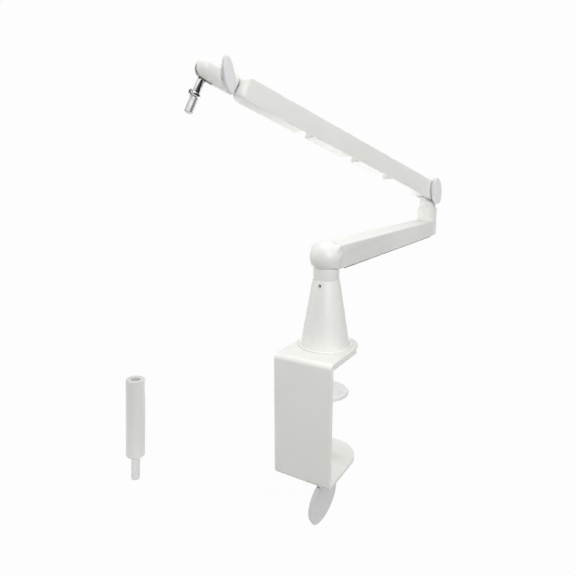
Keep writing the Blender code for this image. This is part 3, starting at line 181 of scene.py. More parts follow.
def turned(corners, steps=ROUND_STEPS, corner_steps=CORNER_STEPS):
    """Solid turned about Z from (radius, height, corner radius) points."""
    shape = outline(corners, corner_steps)
    bmesh.ops.delete(shape, geom=list(shape.faces), context="FACES_ONLY")
    axis = [edge for edge in shape.edges if all(abs(point.co.x) < TINY for point in edge.verts)]
    bmesh.ops.delete(shape, geom=axis, context="EDGES")
    bmesh.ops.rotate(shape, cent=(0, 0, 0), matrix=Matrix.Rotation(pi / 2, 3, "X"), verts=shape.verts)
    bmesh.ops.spin(shape, geom=shape.verts[:] + shape.edges[:], cent=(0, 0, 0), axis=(0, 0, 1),
                   angle=2 * pi, steps=steps, use_merge=True)
    bmesh.ops.remove_doubles(shape, verts=shape.verts, dist=TINY)
    bmesh.ops.recalc_face_normals(shape, faces=shape.faces)
    return shape


def turned_ring(bore, radius, low, high, edges, corner_steps=CORNER_STEPS):
    """Ring whose edges are rounded as given, from the bore's bottom edge round to its top edge."""
    return turned([(bore, low, edges[0]), (radius, low, edges[1]), (radius, high, edges[2]),
                   (bore, high, edges[3])], ROUND_STEPS, corner_steps)


def turned_pin(radius, low, high, foot, head, steps=SMALL_STEPS, corner_steps=FINE_CORNER):
    """Pin with its foot and its head rounded."""
    return turned([(0, low, 0), (radius, low, foot), (radius, high, head), (0, high, 0)], steps, corner_steps)


def threaded(core, crest, pitch, low, high):
    """Screw thread about Z, cut square at both ends."""
    shape = bmesh.new()
    points = [shape.verts.new((crest if out else core, 0, low + (share - 1) * pitch))
              for out, share in THREAD_FORM]
    for pair in zip(points, points[1:]):
        shape.edges.new(pair)
    turns = int((high - low) / pitch) + 3
    bmesh.ops.spin(shape, geom=shape.verts[:] + shape.edges[:], cent=(0, 0, 0), axis=(0, 0, 1),
                   dvec=(0, 0, pitch / THREAD_STEPS), angle=2 * pi * turns, steps=THREAD_STEPS * turns)
    bmesh.ops.remove_doubles(shape, verts=shape.verts, dist=TINY)
    for height, up in ((low, -1), (high, 1)):
        cut = bmesh.ops.bisect_plane(shape, geom=shape.verts[:] + shape.edges[:] + shape.faces[:],
                                     plane_co=(0, 0, height), plane_no=(0, 0, up), clear_outer=True)
        rim = [part for part in cut["geom_cut"] if isinstance(part, bmesh.types.BMEdge)]
        bmesh.ops.edgeloop_fill(shape, edges=rim)
    bmesh.ops.recalc_face_normals(shape, faces=shape.faces)
    return shape


def placed(shape, place):
    bmesh.ops.transform(shape, matrix=place, verts=shape.verts)
    bmesh.ops.recalc_face_normals(shape, faces=shape.faces)
    return shape


def together(*shapes):
    """One bmesh with several closed bodies."""
    whole = bmesh.new()
    for shape in shapes:
        mesh = bpy.data.meshes.new("body")
        shape.to_mesh(mesh)
        shape.free()
        whole.from_mesh(mesh)
        bpy.data.meshes.remove(mesh)
    return whole


def stand(name, shape):
    """Object in the scene from a bmesh."""
    mesh = bpy.data.meshes.new(name)
    shape.to_mesh(mesh)
    shape.free()
    item = bpy.data.objects.new(name, mesh)
    bpy.context.scene.collection.objects.link(item)
    return item


def worked(shape, *tools):
    """Body after its tools, given as (operation, shape) pairs, have cut it or been joined to it."""
    items = [stand("work", part) for part in (shape, *(tool for _, tool in tools))]
    body = items[0]
    for (operation, _), tool in zip(tools, items[1:]):
        step = body.modifiers.new(operation.lower(), "BOOLEAN")
        step.operation = operation
        step.object = tool
        step.solver = "EXACT"
    result = bmesh.new()
    result.from_object(body, bpy.context.evaluated_depsgraph_get())
    for item in items:
        mesh = item.data
        bpy.data.objects.remove(item)
        bpy.data.meshes.remove(mesh)
    bmesh.ops.remove_doubles(result, verts=result.verts, dist=TINY)
    bmesh.ops.dissolve_limit(result, angle_limit=radians(0.05), verts=result.verts, edges=result.edges)
    return result


def carved(shape, *tools):
    """Body after its tools have been cut out of it."""
    return worked(shape, *(("DIFFERENCE", tool) for tool in tools))


def softened(shape, width, segments=3, above=40.0):
    """Rounds each edge that is sharper than the given angle."""
    edges = [edge for edge in shape.edges
             if len(edge.link_faces) == 2 and edge.calc_face_angle(0) > radians(above)]
    bmesh.ops.bevel(shape, geom=edges, offset=width, offset_type="OFFSET", segments=segments,
                    profile=0.5, affect="EDGES", material=-1, clamp_overlap=True)
    return shape


def domed_end(radius, low, high, back, crown, foot, edge, steps=48):
    """Half-round end with its nose at +X and a straight block of length back behind it.

    The top edge is rounded by crown at the nose and by edge at the sides, the bottom edge by foot.
    """
    bends = CORNER_STEPS * 2

    def section(angle, behind):
        share = cos(angle)
        points = []
        for corner, turn, size in ((low, -1, edge + (foot - edge) * share),
                                   (high, 1, edge + (crown - edge) * share)):
            arc = []
            for step in range(bends + 1):
                bend = pi / 2 * step / bends
                reach = radius - size + size * cos(bend)
                arc.append(Vector((reach * cos(angle) - behind, reach * sin(angle),
                                   corner - turn * size + turn * size * sin(bend))))
            points += arc[::-1] if turn < 0 else arc
        return points

    shape = bmesh.new()
    sections = [section(-pi / 2, back)]
    sections += [section(pi * (step / steps - 0.5), 0) for step in range(steps + 1)]
    sections.append(section(pi / 2, back))
    points = [shape.verts.new(place) for place in sections[0]]
    chain = [shape.edges.new(pair) for pair in zip(points, points[1:])]
    first, under, over = points, [points[0]], [points[-1]]
    for places in sections[1:]:
        grown = bmesh.ops.extrude_edge_only(shape, edges=chain)["geom"]
        fresh = {part for part in grown if isinstance(part, bmesh.types.BMVert)}
        points = [next(edge.other_vert(point) for edge in point.link_edges if edge.other_vert(point) in fresh)
                  for point in points]
        chain = [part for part in grown
                 if isinstance(part, bmesh.types.BMEdge) and set(part.verts) <= fresh]
        for point, place in zip(points, places):
            point.co = place
        under.append(points[0])
        over.append(points[-1])
    for rim in (under, over, first + points[::-1]):
        shape.faces.new(rim)
    bmesh.ops.recalc_face_normals(shape, faces=shape.faces)
    return shape


def piece(name, shape, finish, body, place, look=None, sharp=32.0):
    """Piece of the model from a bmesh in millimetres, at its place and on its body.

    A piece named fine_ and a node takes that node's place in the picture.
    """
    bmesh.ops.transform(shape, matrix=TO_METRES @ place, verts=shape.verts)
    bmesh.ops.remove_doubles(shape, verts=shape.verts, dist=TINY * 0.001)
    bmesh.ops.recalc_face_normals(shape, faces=shape.faces)
    item = stand(name, shape)
    item.data.materials.append(FINISHES[look or finish])
    item.data.shade_smooth()
    item.data.set_sharp_from_angle(angle=radians(sharp))
    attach(item, body)
    if name.startswith("fine_"):
        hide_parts(name.replace("fine_", ""))
    return item


# Materials
def set_inputs(node, values):
    for name, value in values.items():
        node.inputs[name].default_value = value


def new_material(name, colour, roughness, metallic=0.0):
    made = bpy.data.materials.new(name)
    made.use_nodes = True
    shader = made.node_tree.nodes["Principled BSDF"]
    set_inputs(shader, {"Base Color": (*colour, 1), "Roughness": roughness, "Metallic": metallic})
    return made, made.node_tree, shader


def noise(tree, scale, detail=2.0, stretch=(1, 1, 1)):
    """Noise on object coordinates, with its scale counted per metre."""
    where = tree.nodes.new("ShaderNodeTexCoord")
    mapping = tree.nodes.new("ShaderNodeMapping")
    mapping.inputs["Scale"].default_value = stretch
    texture = tree.nodes.new("ShaderNodeTexNoise")
    set_inputs(texture, {"Scale": scale, "Detail": detail})
    tree.links.new(where.outputs["Object"], mapping.inputs["Vector"])
    tree.links.new(mapping.outputs["Vector"], texture.inputs["Vector"])
    return texture.outputs["Fac"]


def mottled(tree, shader, signal, dark, light):
    """Colour that drifts between two close tones."""
    ramp = tree.nodes.new("ShaderNodeValToRGB")
    ramp.color_ramp.elements[0].position = 0.32
    ramp.color_ramp.elements[0].color = (*dark, 1)
    ramp.color_ramp.elements[1].position = 0.68
    ramp.color_ramp.elements[1].color = (*light, 1)
    tree.links.new(signal, ramp.inputs["Fac"])
    tree.links.new(ramp.outputs["Color"], shader.inputs["Base Color"])


def uneven_gloss(tree, shader, signal, low, high):
    spread = tree.nodes.new("ShaderNodeMapRange")
    set_inputs(spread, {"From Min": 0.3, "From Max": 0.7, "To Min": low, "To Max": high})
    tree.links.new(signal, spread.inputs["Value"])
    tree.links.new(spread.outputs["Result"], shader.inputs["Roughness"])


def grain(tree, shader, signals, distance, strength):
    """Bump from one or two added height signals."""
    height = signals[0]
    link = tree.links.new
    if len(signals) > 1:
        total = tree.nodes.new("ShaderNodeMath")
        total.operation = "ADD"
        link(signals[0], total.inputs[0])
        link(signals[1], total.inputs[1])
        height = total.outputs["Value"]
    bump = tree.nodes.new("ShaderNodeBump")
    set_inputs(bump, {"Distance": distance, "Strength": strength})
    link(height, bump.inputs["Height"])
    link(bump.outputs["Normal"], shader.inputs["Normal"])


def shade(colour, factor):
    return tuple(part * factor for part in colour)


def coated_metal(name, colour, roughness):
    """Powder coat: fine orange peel, tiny specks and a thin clear skin."""
    made, tree, shader = new_material(name, colour, roughness)
    mottled(tree, shader, noise(tree, scale=26, detail=3), shade(colour, 0.972), colour)
    uneven_gloss(tree, shader, noise(tree, scale=140, detail=3), roughness - 0.05, roughness + 0.06)
    peel = (noise(tree, scale=950), noise(tree, scale=2600, detail=1))
    grain(tree, shader, peel, distance=0.00004, strength=0.22)
    set_inputs(shader, {"Coat Weight": 0.12, "Coat Roughness": 0.25, "Specular IOR Level": 0.45})
    return made


def moulded_plastic(name, colour, roughness, texture_depth=0.16):
    """Moulded plastic with a fine spark-eroded grain and faint flow marks."""
    made, tree, shader = new_material(name, colour, roughness)
    mottled(tree, shader, noise(tree, scale=40, stretch=(1, 1, 0.3)), shade(colour, 0.975), colour)
    uneven_gloss(tree, shader, noise(tree, scale=220), roughness - 0.04, roughness + 0.05)
    grain(tree, shader, (noise(tree, scale=3200),), distance=0.00004, strength=texture_depth)
    return made


def soft_rubber(name, colour):
    made, tree, shader = new_material(name, colour, 0.82)
    mottled(tree, shader, noise(tree, scale=120, detail=4), shade(colour, 0.93), colour)
    uneven_gloss(tree, shader, noise(tree, scale=300), 0.76, 0.9)
    grain(tree, shader, (noise(tree, scale=1400, detail=4),), distance=0.0001, strength=0.35)
    return made


def machined_metal(name, colour, roughness, stretch=(1, 1, 30), marks=0.25):
    """Metal with fine turning marks that run across the stretched axis."""
    made, tree, shader = new_material(name, colour, roughness, 1.0)
    lines = noise(tree, scale=160, detail=3, stretch=stretch)
    mottled(tree, shader, noise(tree, scale=60, detail=3), shade(colour, 0.9), colour)
    uneven_gloss(tree, shader, lines, roughness - 0.07, roughness + 0.09)
    grain(tree, shader, (lines,), distance=0.00003, strength=marks)
    return made


def polished_chrome(name, colour):
    made, tree, shader = new_material(name, colour, 0.05, 1.0)
    mottled(tree, shader, noise(tree, scale=90, detail=3), shade(colour, 0.965), colour)
    uneven_gloss(tree, shader, noise(tree, scale=420, detail=4), 0.03, 0.09)
    grain(tree, shader, (noise(tree, scale=700),), distance=0.00001, strength=0.05)
    return made


FINISHES = {
    "white_steel": coated_metal("white_steel", (0.800, 0.803, 0.768), 0.42),
    "white_alloy": coated_metal("white_alloy", (0.800, 0.803, 0.770), 0.40),
    # Darker copy of the white alloy: painted shade, to darken the riser as if it stood in dimmer light.
    "painted_shade_alloy": coated_metal("painted_shade_alloy", (0.640, 0.637, 0.622), 0.42),
    "white_plastic": moulded_plastic("white_plastic", (0.760, 0.762, 0.775), 0.44),
    "grey_plastic": moulded_plastic("grey_plastic", (0.610, 0.615, 0.625), 0.46, 0.2),
    # Dark grey copy of the white plastic: painted shade, for the shadow line under the lower arm's bottom
    # edge.
    "painted_shade_plastic": moulded_plastic("painted_shade_plastic", (0.340, 0.340, 0.335), 0.5),
    # Pale rubber, its colour raised further as painted light so the pad face in the clamp's shaded throat
    # shows bright.
    "pale_rubber": soft_rubber("pale_rubber", (0.875, 0.875, 0.870)),
    "steel": machined_metal("steel", (0.560, 0.565, 0.580), 0.34),
    "brass": machined_metal("brass", (0.700, 0.540, 0.270), 0.33),
    "chrome": polished_chrome("chrome", (0.800, 0.805, 0.815)),
    "satin_metal": machined_metal("satin_metal", (0.700, 0.700, 0.710), 0.46, (1, 1, 8), 0.03),
    "bearing_plastic": moulded_plastic("bearing_plastic", (0.055, 0.055, 0.060), 0.5),
}
for row in frame["record"]["subparts"]:
    for holder in frame["nodes"][row["node"]].material_slots:
        holder.material = FINISHES[row["material_slot"]]

# Clamp sizes
CLAMP_HALF = 30.0
CLAMP_BACK = -47.0
CLAMP_FRONT = 36.0
PLATE = 4.5
BEND = 5.5
FLANGE_UNDER = 2.3
FLANGE_TOP = 6.8
LOWER_TOP = -114.4
LOWER_UNDER = -118.9
FIXING_SCREWS = 3
SCREW_CIRCLE = 15.0
FIXING_HOLE = 2.3
FIXING_HEAD = 4.3
COUNTERSINK = 2.0
PAD_INSET = 0.6
PAD_BACK = -41.2
PAD_THICK = 2.0
BUSH_BORE = 5.2
BUSH_BODY = 7.4
BUSH_RIM = 9.0
BUSH_LOW = -120.4
BUSH_HIGH = -111.6

# Sizes of the pressure pad, its screw and the handle
FACE_RADIUS = 23.6
FACE_THICK = 0.8
FACE_RINGS = (16.6, 10.0)
RING_HALF = 0.4
RING_DEPTH = 0.25
FOOT_RADIUS = 24.6
FOOT_NECK = 8.5
FOOT_LOW = -11.8
FOOT_TOP = -1.1
FOOT_SLOPE = ((9.1, -4.6, 1.2), (13.0, -3.2, 1.5), (FOOT_RADIUS, -2.8, 0.8))
TIP_ROOM = 3.5  # radius of the pad's bore for the screw's tip
TIP_ROOM_TOP = -5.5
KEEPER_HOLE = 1.9
KEEPER_HEAD = 4.3
KEEPER_SEAT = -3.7
SCREW_RADIUS = 4.9
SCREW_CORE = 4.0
SCREW_PITCH = 1.5
SHANK_LOW = 29.5
SHANK_HIGH = 113.9
THREAD_LOW = 34.0
THREAD_HIGH = 110.8
THREAD_IN = 0.4  # how far the core's ends lie inside the thread
THREAD_OUT = 0.5  # how far the plain ends lie outside it
NOSE_RADIUS = 3.2
NOSE_END = 120.2
TONGUE_HALF = 4.6
TONGUE_SIDE = 1.9
TONGUE_END = 31.5
HANDLE_SLOT = 5.2  # room round the tongue's end
HANDLE_SLOT_SIDE = 14.0
HANDLE_SLOT_END = 31.0
HANDLE_FOLD_ROOM = 25.0  # degrees
PIN_RADIUS = 2.0
PIN_HALF = 3.7


# Clamp
def fixing_screw_spots():
    """Middles of the screws that hold the cone on the bracket."""
    angles = [pi / 2 + 2 * pi * number / FIXING_SCREWS for number in range(FIXING_SCREWS)]
    return [(SCREW_CIRCLE * cos(angle), SCREW_CIRCLE * sin(angle)) for angle in angles]


def make_bracket():
    inner = BEND - PLATE
    front = CLAMP_FRONT + PAST
    profile = outline([
        (front, LOWER_UNDER, 0), (front, LOWER_TOP, 0), (CLAMP_BACK + PLATE, LOWER_TOP, inner),
        (CLAMP_BACK + PLATE, FLANGE_UNDER, inner), (front, FLANGE_UNDER, 0), (front, FLANGE_TOP, 0),
        (CLAMP_BACK, FLANGE_TOP, BEND), (CLAMP_BACK, LOWER_UNDER, BEND)], 10)
    body = placed(slab(profile, -CLAMP_HALF - PAST, CLAMP_HALF + PAST), ALONG_X)
    back = CLAMP_BACK - PAST
    plan = outline([(CLAMP_HALF, back, 0), (CLAMP_HALF, CLAMP_FRONT, CLAMP_HALF),
                    (-CLAMP_HALF, CLAMP_FRONT, CLAMP_HALF), (-CLAMP_HALF, back, 0)], CURVE_STEPS)
    body = worked(body, ("INTERSECT", slab(plan, LOWER_UNDER - PAST, FLANGE_TOP + PAST)))
    body = softened(body, 0.5)
    holes = []
    for x, y in fixing_screw_spots():
        hole = turned([(0, -PAST, 0), (FIXING_HEAD, -PAST, 0), (FIXING_HEAD, 0, 0),
                       (FIXING_HOLE, COUNTERSINK, 0), (FIXING_HOLE, PLATE + PAST, 0),
                       (0, PLATE + PAST, 0)], SMALL_STEPS)
        holes.append(placed(hole, shifted(x, y, FLANGE_UNDER)))
    holes.append(rod(BUSH_BODY + GAP, LOWER_UNDER - PAST, LOWER_TOP + PAST))
    body = carved(body, together(*holes))
    piece("fine_clamp_bracket", body, "white_steel", "clamp", BASE)


def make_clamp_fittings():
    half = CLAMP_HALF - PAD_INSET
    front = CLAMP_FRONT - PAD_INSET
    plan = outline([(half, PAD_BACK, 1), (half, front, half), (-half, front, half),
                    (-half, PAD_BACK, 1)], CURVE_STEPS)
    pad = softened(slab(plan, 0, PAD_THICK), 0.35)
    piece("fine_desk_pad", pad, "pale_rubber", "clamp", BASE)
    shoulder = LOWER_TOP + GAP
    bush = turned([(BUSH_BORE, BUSH_LOW, 0.3), (BUSH_BODY, BUSH_LOW, 0.4), (BUSH_BODY, shoulder, 0),
                   (BUSH_RIM, shoulder, 0.3), (BUSH_RIM, BUSH_HIGH, 0.5), (BUSH_BORE, BUSH_HIGH, 0.4)],
                  SMALL_STEPS, FINE_CORNER)
    piece("fine_screw_bush", bush, "brass", "clamp", BASE)


def make_pressure_foot():
    """Pad that the screw presses up, with fine rings in its face."""
    rings = []
    for radius in FACE_RINGS:
        rings += [(radius + RING_HALF, 0, 0), (radius, -RING_DEPTH, 0), (radius - RING_HALF, 0, 0)]
    face = turned([(0, -FACE_THICK, 0), (FACE_RADIUS, -FACE_THICK, 0.15), (FACE_RADIUS, 0, 0.35), *rings,
                   (0, 0, 0)])
    piece("fine_pressure_pad_face", face, "pale_rubber", "pressure_foot", PAD)
    pad = turned([(TIP_ROOM, FOOT_LOW, 0.3), (FOOT_NECK, FOOT_LOW, 0.8), *FOOT_SLOPE,
                  (FOOT_RADIUS, FOOT_TOP, 0.8), (KEEPER_HEAD, FOOT_TOP, 0), (KEEPER_HEAD, KEEPER_SEAT, 0),
                  (KEEPER_HOLE, KEEPER_SEAT, 0), (KEEPER_HOLE, TIP_ROOM_TOP, 0), (TIP_ROOM, TIP_ROOM_TOP, 0)])
    piece("fine_pressure_pad", pad, "white_plastic", "pressure_foot", PAD)


def pin_hole(reach):
    return placed(rod(PIN_RADIUS + GAP, -reach, reach), ALONG_Y)


def make_clamp_screw():
    top = THREAD_HIGH + THREAD_OUT
    shank = turned([(0, SHANK_LOW, 0), (SCREW_RADIUS, SHANK_LOW, 0.6),
                    (SCREW_RADIUS, THREAD_LOW - THREAD_OUT, 0.5), (SCREW_CORE, THREAD_LOW + THREAD_IN, 0),
                    (SCREW_CORE, THREAD_HIGH - THREAD_IN, 0), (SCREW_RADIUS, top, 0.3),
                    (SCREW_RADIUS, SHANK_HIGH, 0.4), (NOSE_RADIUS, SHANK_HIGH, 0),
                    (NOSE_RADIUS, NOSE_END, 0.4), (KEEPER_HOLE, NOSE_END, 0),
                    (KEEPER_HOLE, top, 0), (0, top, 0)], SMALL_STEPS, FINE_CORNER)
    thread = threaded(SCREW_CORE + SEAM, SCREW_RADIUS, SCREW_PITCH, THREAD_LOW, THREAD_HIGH)
    half = TONGUE_HALF
    tongue = outline([(half, TONGUE_END, 0), (-half, TONGUE_END, 0), (-half, -half, half),
                      (half, -half, half)], 12)
    tongue = softened(slab(tongue, -TONGUE_SIDE, TONGUE_SIDE), 0.4)
    tongue = carved(placed(tongue, ALONG_Y), pin_hole(6))
    piece("fine_clamp_screw", together(shank, thread, tongue), "steel", "screw", SCREW_END)
    pin = turned_pin(PIN_RADIUS, -PIN_HALF, PIN_HALF, foot=0.35, head=0.35)
    piece("fine_handle_pin", placed(pin, ALONG_Y), "steel", "screw", SCREW_END)


def make_clamp_handle():
    """Oval paddle with a slot for the screw's tongue and blind bores for the pin."""
    paddle = slab(oval(length=58.0, width=23.4), low=-4.0, high=4.0)
    paddle = placed(softened(paddle, 1.8, 6, EDGES_ONLY), ALONG_Y)
    slant = HANDLE_SLOT_END * tan(radians(HANDLE_FOLD_ROOM))
    slot = outline([(-HANDLE_SLOT, -HANDLE_SLOT, 0), (HANDLE_SLOT_SIDE, -HANDLE_SLOT, 0),
                    (HANDLE_SLOT_SIDE, HANDLE_SLOT_END, 0), (-HANDLE_SLOT - slant, HANDLE_SLOT_END, 0),
                    (-HANDLE_SLOT, 0, 0)])
    slot = placed(slab(slot, -TONGUE_SIDE - GAP, TONGUE_SIDE + GAP), ALONG_Y)
    paddle = carved(paddle, slot, pin_hole(PIN_HALF + SEAM))
    piece("fine_clamp_handle", paddle, "grey_plastic", "handle", HANDLE)


# Base
RING_TOP = 9.1
CONE_LOW = 7.1
CONE_SPIGOT = 22.0
CONE_FOOT = 9.15
CONE_RADIUS = 24.6
CONE_TOP = 73.1
CONE_TIP = 13.1
CONE_RINGS = (25.0, 45.0, 60.0, 65.5, 71.3)
CONE_BORE = 8.35
BORE_FLOOR = 36.8
FIXING_DEPTH = 16.6
SET_SCREW_AT = 68.6


def make_base():
    ring = turned_ring(bore=22.3, radius=26.4, low=FLANGE_TOP + SEAM, high=RING_TOP, edges=(0, 0.3, 0.9, 0))
    piece("fine_base_ring", ring, "white_alloy", "clamp", BASE)

    def wall(height):
        return CONE_RADIUS + (CONE_TIP - CONE_RADIUS) * (height - CONE_FOOT) / (CONE_TOP - CONE_FOOT)

    cone = turned([(0, CONE_LOW, 0), (CONE_SPIGOT, CONE_LOW, 0), (CONE_SPIGOT, CONE_FOOT, 0),
                   (CONE_RADIUS, CONE_FOOT, 0.2), *((wall(height), height, 0) for height in CONE_RINGS),
                   (CONE_TIP, CONE_TOP, 0.5), (CONE_BORE, CONE_TOP, 0), (CONE_BORE, BORE_FLOOR, 0),
                   (0, BORE_FLOOR, 0)])
    holes = [placed(rod(radius=1.8, low=-26, high=-6), ALONG_Y @ shifted(0, SET_SCREW_AT, 0))]
    holes += [placed(rod(FIXING_HOLE, CONE_LOW - PAST, FIXING_DEPTH), shifted(x, y, 0))
              for x, y in fixing_screw_spots()]
    cone = carved(cone, together(*holes))
    piece("fine_base_cone", cone, "white_alloy", "clamp", BASE)
    socket = slab(round_face(radius=0.85, steps=6), low=9.8, high=13)
    screw = carved(rod(radius=1.5, low=5.25, high=11.85), socket)
    place = shifted(0, 0, SET_SCREW_AT) @ rolled(90, "X")
    piece("fine_base_set_screw", placed(softened(screw, 0.12, 2), place), "steel", "clamp", BASE)


# Lower arm
LOWER_HALF = 14.8
ARM_LOW = 84.1
ARM_HIGH = 106.8
BOX_CORNER = 1.6
LOWER_WALL = 2.0
LOWER_START = 4.03
LOWER_END = 333.97
WALL_CUT = 4.0  # how far a hole's tool reaches into the tube
SPIGOT_RADIUS = 5.75
SPIGOT_LOW = 37.4
GROOVE_RADIUS = 4.95
GROOVE_LOW = 66.3
GROOVE_HIGH = 70.9
COLLAR_RADIUS = 12.45
NECK_RADIUS = 8.0
NECK_TOP = 89.3
POST_HOLE = 2.8
POST_HOLE_TOP = 98.4
POST_HEAD = 4.5
POST_SEAT = 41.0
BALL_RADIUS = 16.0
BALL_MIDDLE = ARM_HIGH - 12.2
COVER_SPANS = ((15.45, 82.98), (86.01, 171.96), (174.99, 331.0))
COVER_HALF = 13.0
COVER_THICK = 1.2
FINGER_GROOVE = (6.0, 1.5, 0.5)  # half length, half width, depth
PEG_INSET = 13.6
PEG_RADIUS = 2.0
PEG_RISE = 3.0
PEG_SLIT = 0.4  # half its width
CAP_RADIUS = 12.2
CAP_TOP = 86.6
LEDGE_LOW = 86.9
LEDGE_RADIUS = 11.0
LEDGE_TOP = 94.0
ELBOW_BORE = 9.3
SLEEVE_TOP = 125.8


def make_lower_post():
    low, high = CONE_TOP + SEAM, ARM_LOW - SEAM
    post = turned([(POST_HEAD, SPIGOT_LOW, 0.2), (SPIGOT_RADIUS, SPIGOT_LOW, 0.3),
                   (SPIGOT_RADIUS, GROOVE_LOW, 0), (GROOVE_RADIUS, GROOVE_LOW, 0),
                   (GROOVE_RADIUS, GROOVE_HIGH, 0), (SPIGOT_RADIUS, GROOVE_HIGH, 0),
                   (SPIGOT_RADIUS, low, 0), (COLLAR_RADIUS, low, 0.25), (COLLAR_RADIUS, high, 0.25),
                   (NECK_RADIUS, high, 0), (NECK_RADIUS, NECK_TOP, 0), (POST_HOLE, NECK_TOP, 0),
                   (POST_HOLE, POST_SEAT, 0), (POST_HEAD, POST_SEAT, 0)])
    piece("fine_lower_arm_post", post, "white_alloy", "lower_arm", BASE)


def base_ball(radius, low):
    """Ball over the base's axis, cut flat at height low."""
    shape = bmesh.new()
    bmesh.ops.create_uvsphere(shape, u_segments=ROUND_STEPS, v_segments=SMALL_STEPS, radius=radius)
    bmesh.ops.translate(shape, vec=(0, 0, BALL_MIDDLE), verts=shape.verts)
    cut = bmesh.ops.bisect_plane(shape, geom=shape.verts[:] + shape.edges[:] + shape.faces[:],
                                 plane_co=(0, 0, low), plane_no=(0, 0, 1), clear_inner=True)["geom_cut"]
    bmesh.ops.contextual_create(shape, geom=[part for part in cut if isinstance(part, bmesh.types.BMEdge)])
    return shape


def peg_places(span):
    return span[0] + PEG_INSET, span[1] - PEG_INSET


def make_lower_tube():
    def section(inset, corner):
        low, high, half = ARM_LOW + inset, ARM_HIGH - inset, LOWER_HALF - inset
        return outline([(-half, low, corner), (half, low, corner), (half, high, corner),
                        (-half, high, corner)])

    tube = placed(slab(section(0, BOX_CORNER), LOWER_START, LOWER_END), ALONG_Y)
    inside = placed(slab(section(LOWER_WALL, 0.4), LOWER_START - PAST, LOWER_END + PAST), ALONG_Y)
    holes = [rod(NECK_RADIUS + GAP, ARM_LOW - PAST, ARM_LOW + WALL_CUT)]
    for span in COVER_SPANS:
        holes += [placed(rod(PEG_RADIUS + GAP, ARM_LOW - PAST, ARM_LOW + WALL_CUT), shifted(0, y, 0))
                  for y in peg_places(span)]
    tube = carved(tube, inside, together(*holes), base_ball(BALL_RADIUS + SEAM, ARM_LOW - PAST))
    piece("fine_lower_arm_tube", softened(tube, 0.2, 2, EDGES_ONLY), "white_alloy", "lower_arm", BASE)


def make_lower_covers():
    """Flat covers under the arm, each with two split pegs and a finger groove, coloured dark grey as painted
    shade.
    """
    under = ARM_LOW - GAP - COVER_THICK
    top = ARM_LOW + PEG_RISE
    along, across, deep = FINGER_GROOVE
    half = COVER_HALF
    for number, (low, high) in enumerate(COVER_SPANS, 1):
        plan = outline([(-half, low, 1.0), (half, low, 1.0), (half, high, 1.0), (-half, high, 1.0)])
        middle = (low + high) / 2
        groove = block((-along, middle - across, under - 1), (along, middle + across, under + deep))
        plate = carved(slab(plan, under, under + COVER_THICK), groove)
        plate = softened(plate, 0.25, 3, EDGES_ONLY)
        pegs = []
        for y in peg_places((low, high)):
            root = under + COVER_THICK / 2
            peg = turned_pin(PEG_RADIUS, root, top, foot=0, head=0.7)
            peg = carved(peg, block((-PEG_SLIT, -3, ARM_LOW), (PEG_SLIT, 3, top + 1)))
            pegs.append(placed(peg, shifted(0, y, 0)))
        # The covers get the dark grey copy instead of their white plastic: painted shade, so their edges show
        # as the shadow line under the arm.
        piece(f"fine_lower_cover_{number}", together(plate, *pegs), "white_plastic", "lower_arm", BASE,
              "painted_shade_plastic")


def make_lower_ends():
    end = domed_end(LOWER_HALF, ARM_LOW, ARM_HIGH, back=LOWER_START - END_GAP, crown=14.0,
                    foot=7.0, edge=BOX_CORNER)
    hole = NECK_RADIUS + GAP
    ceiling = NECK_TOP + GAP
    bore = turned([(0, ARM_LOW - PAST, 0), (hole, ARM_LOW - PAST, 0), (hole, ceiling, 0),
                   (POST_HOLE, ceiling, 0), (POST_HOLE, POST_HOLE_TOP, 0),
                   (0, POST_HOLE_TOP, 0)], SMALL_STEPS)
    end = worked(placed(end, rolled(-90, "Z")), ("UNION", base_ball(BALL_RADIUS, ARM_LOW)),
                 ("DIFFERENCE", bore))
    piece("fine_lower_arm_base_end", end, "white_alloy", "lower_arm", BASE)
    end = domed_end(LOWER_HALF, ARM_LOW, ARM_HIGH, back=LOWER_LENGTH - LOWER_END - END_GAP, crown=1.6,
                    foot=5.5, edge=BOX_CORNER)
    seat = CAP_RADIUS + GAP
    bore = turned([(0, ARM_LOW - PAST, 0), (seat, ARM_LOW - PAST, 0), (seat, LEDGE_LOW, 0),
                   (LEDGE_RADIUS, LEDGE_LOW, 0), (LEDGE_RADIUS, LEDGE_TOP, 0),
                   (ELBOW_BORE, LEDGE_TOP, 0), (ELBOW_BORE, ARM_HIGH + PAST, 0), (0, ARM_HIGH + PAST, 0)])
    end = carved(placed(end, rolled(90, "Z")), bore)
    piece("fine_lower_arm_elbow_end", end, "white_alloy", "lower_arm", ELBOW)
    plug = turned_pin(CAP_RADIUS, ARM_LOW, CAP_TOP, 0.4, 0.2, ROUND_STEPS, CORNER_STEPS)
    piece("fine_elbow_bottom_plug", plug, "white_plastic", "lower_arm", ELBOW)
    sleeve = turned_ring(ELBOW_BORE, radius=14.2, low=ARM_HIGH + SEAM, high=SLEEVE_TOP,
                         edges=(0, 0.2, 1.2, 0))
    piece("fine_elbow_sleeve", sleeve, "white_alloy", "lower_arm", ELBOW)


# Elbow
SHAFT_RADIUS = 6.0
SHAFT_LOW = 87.2
YOKE_RADIUS = 11.85
YOKE_TOP = 135.1
YOKE_EYE = 11.0  # from the pivot to the tongue's rounded top
BOLT_RADIUS = 3.0
BOLT_LENGTH = 34.5
BOLT_HEAD = 6.0
BOLT_HEAD_HIGH = 3.2


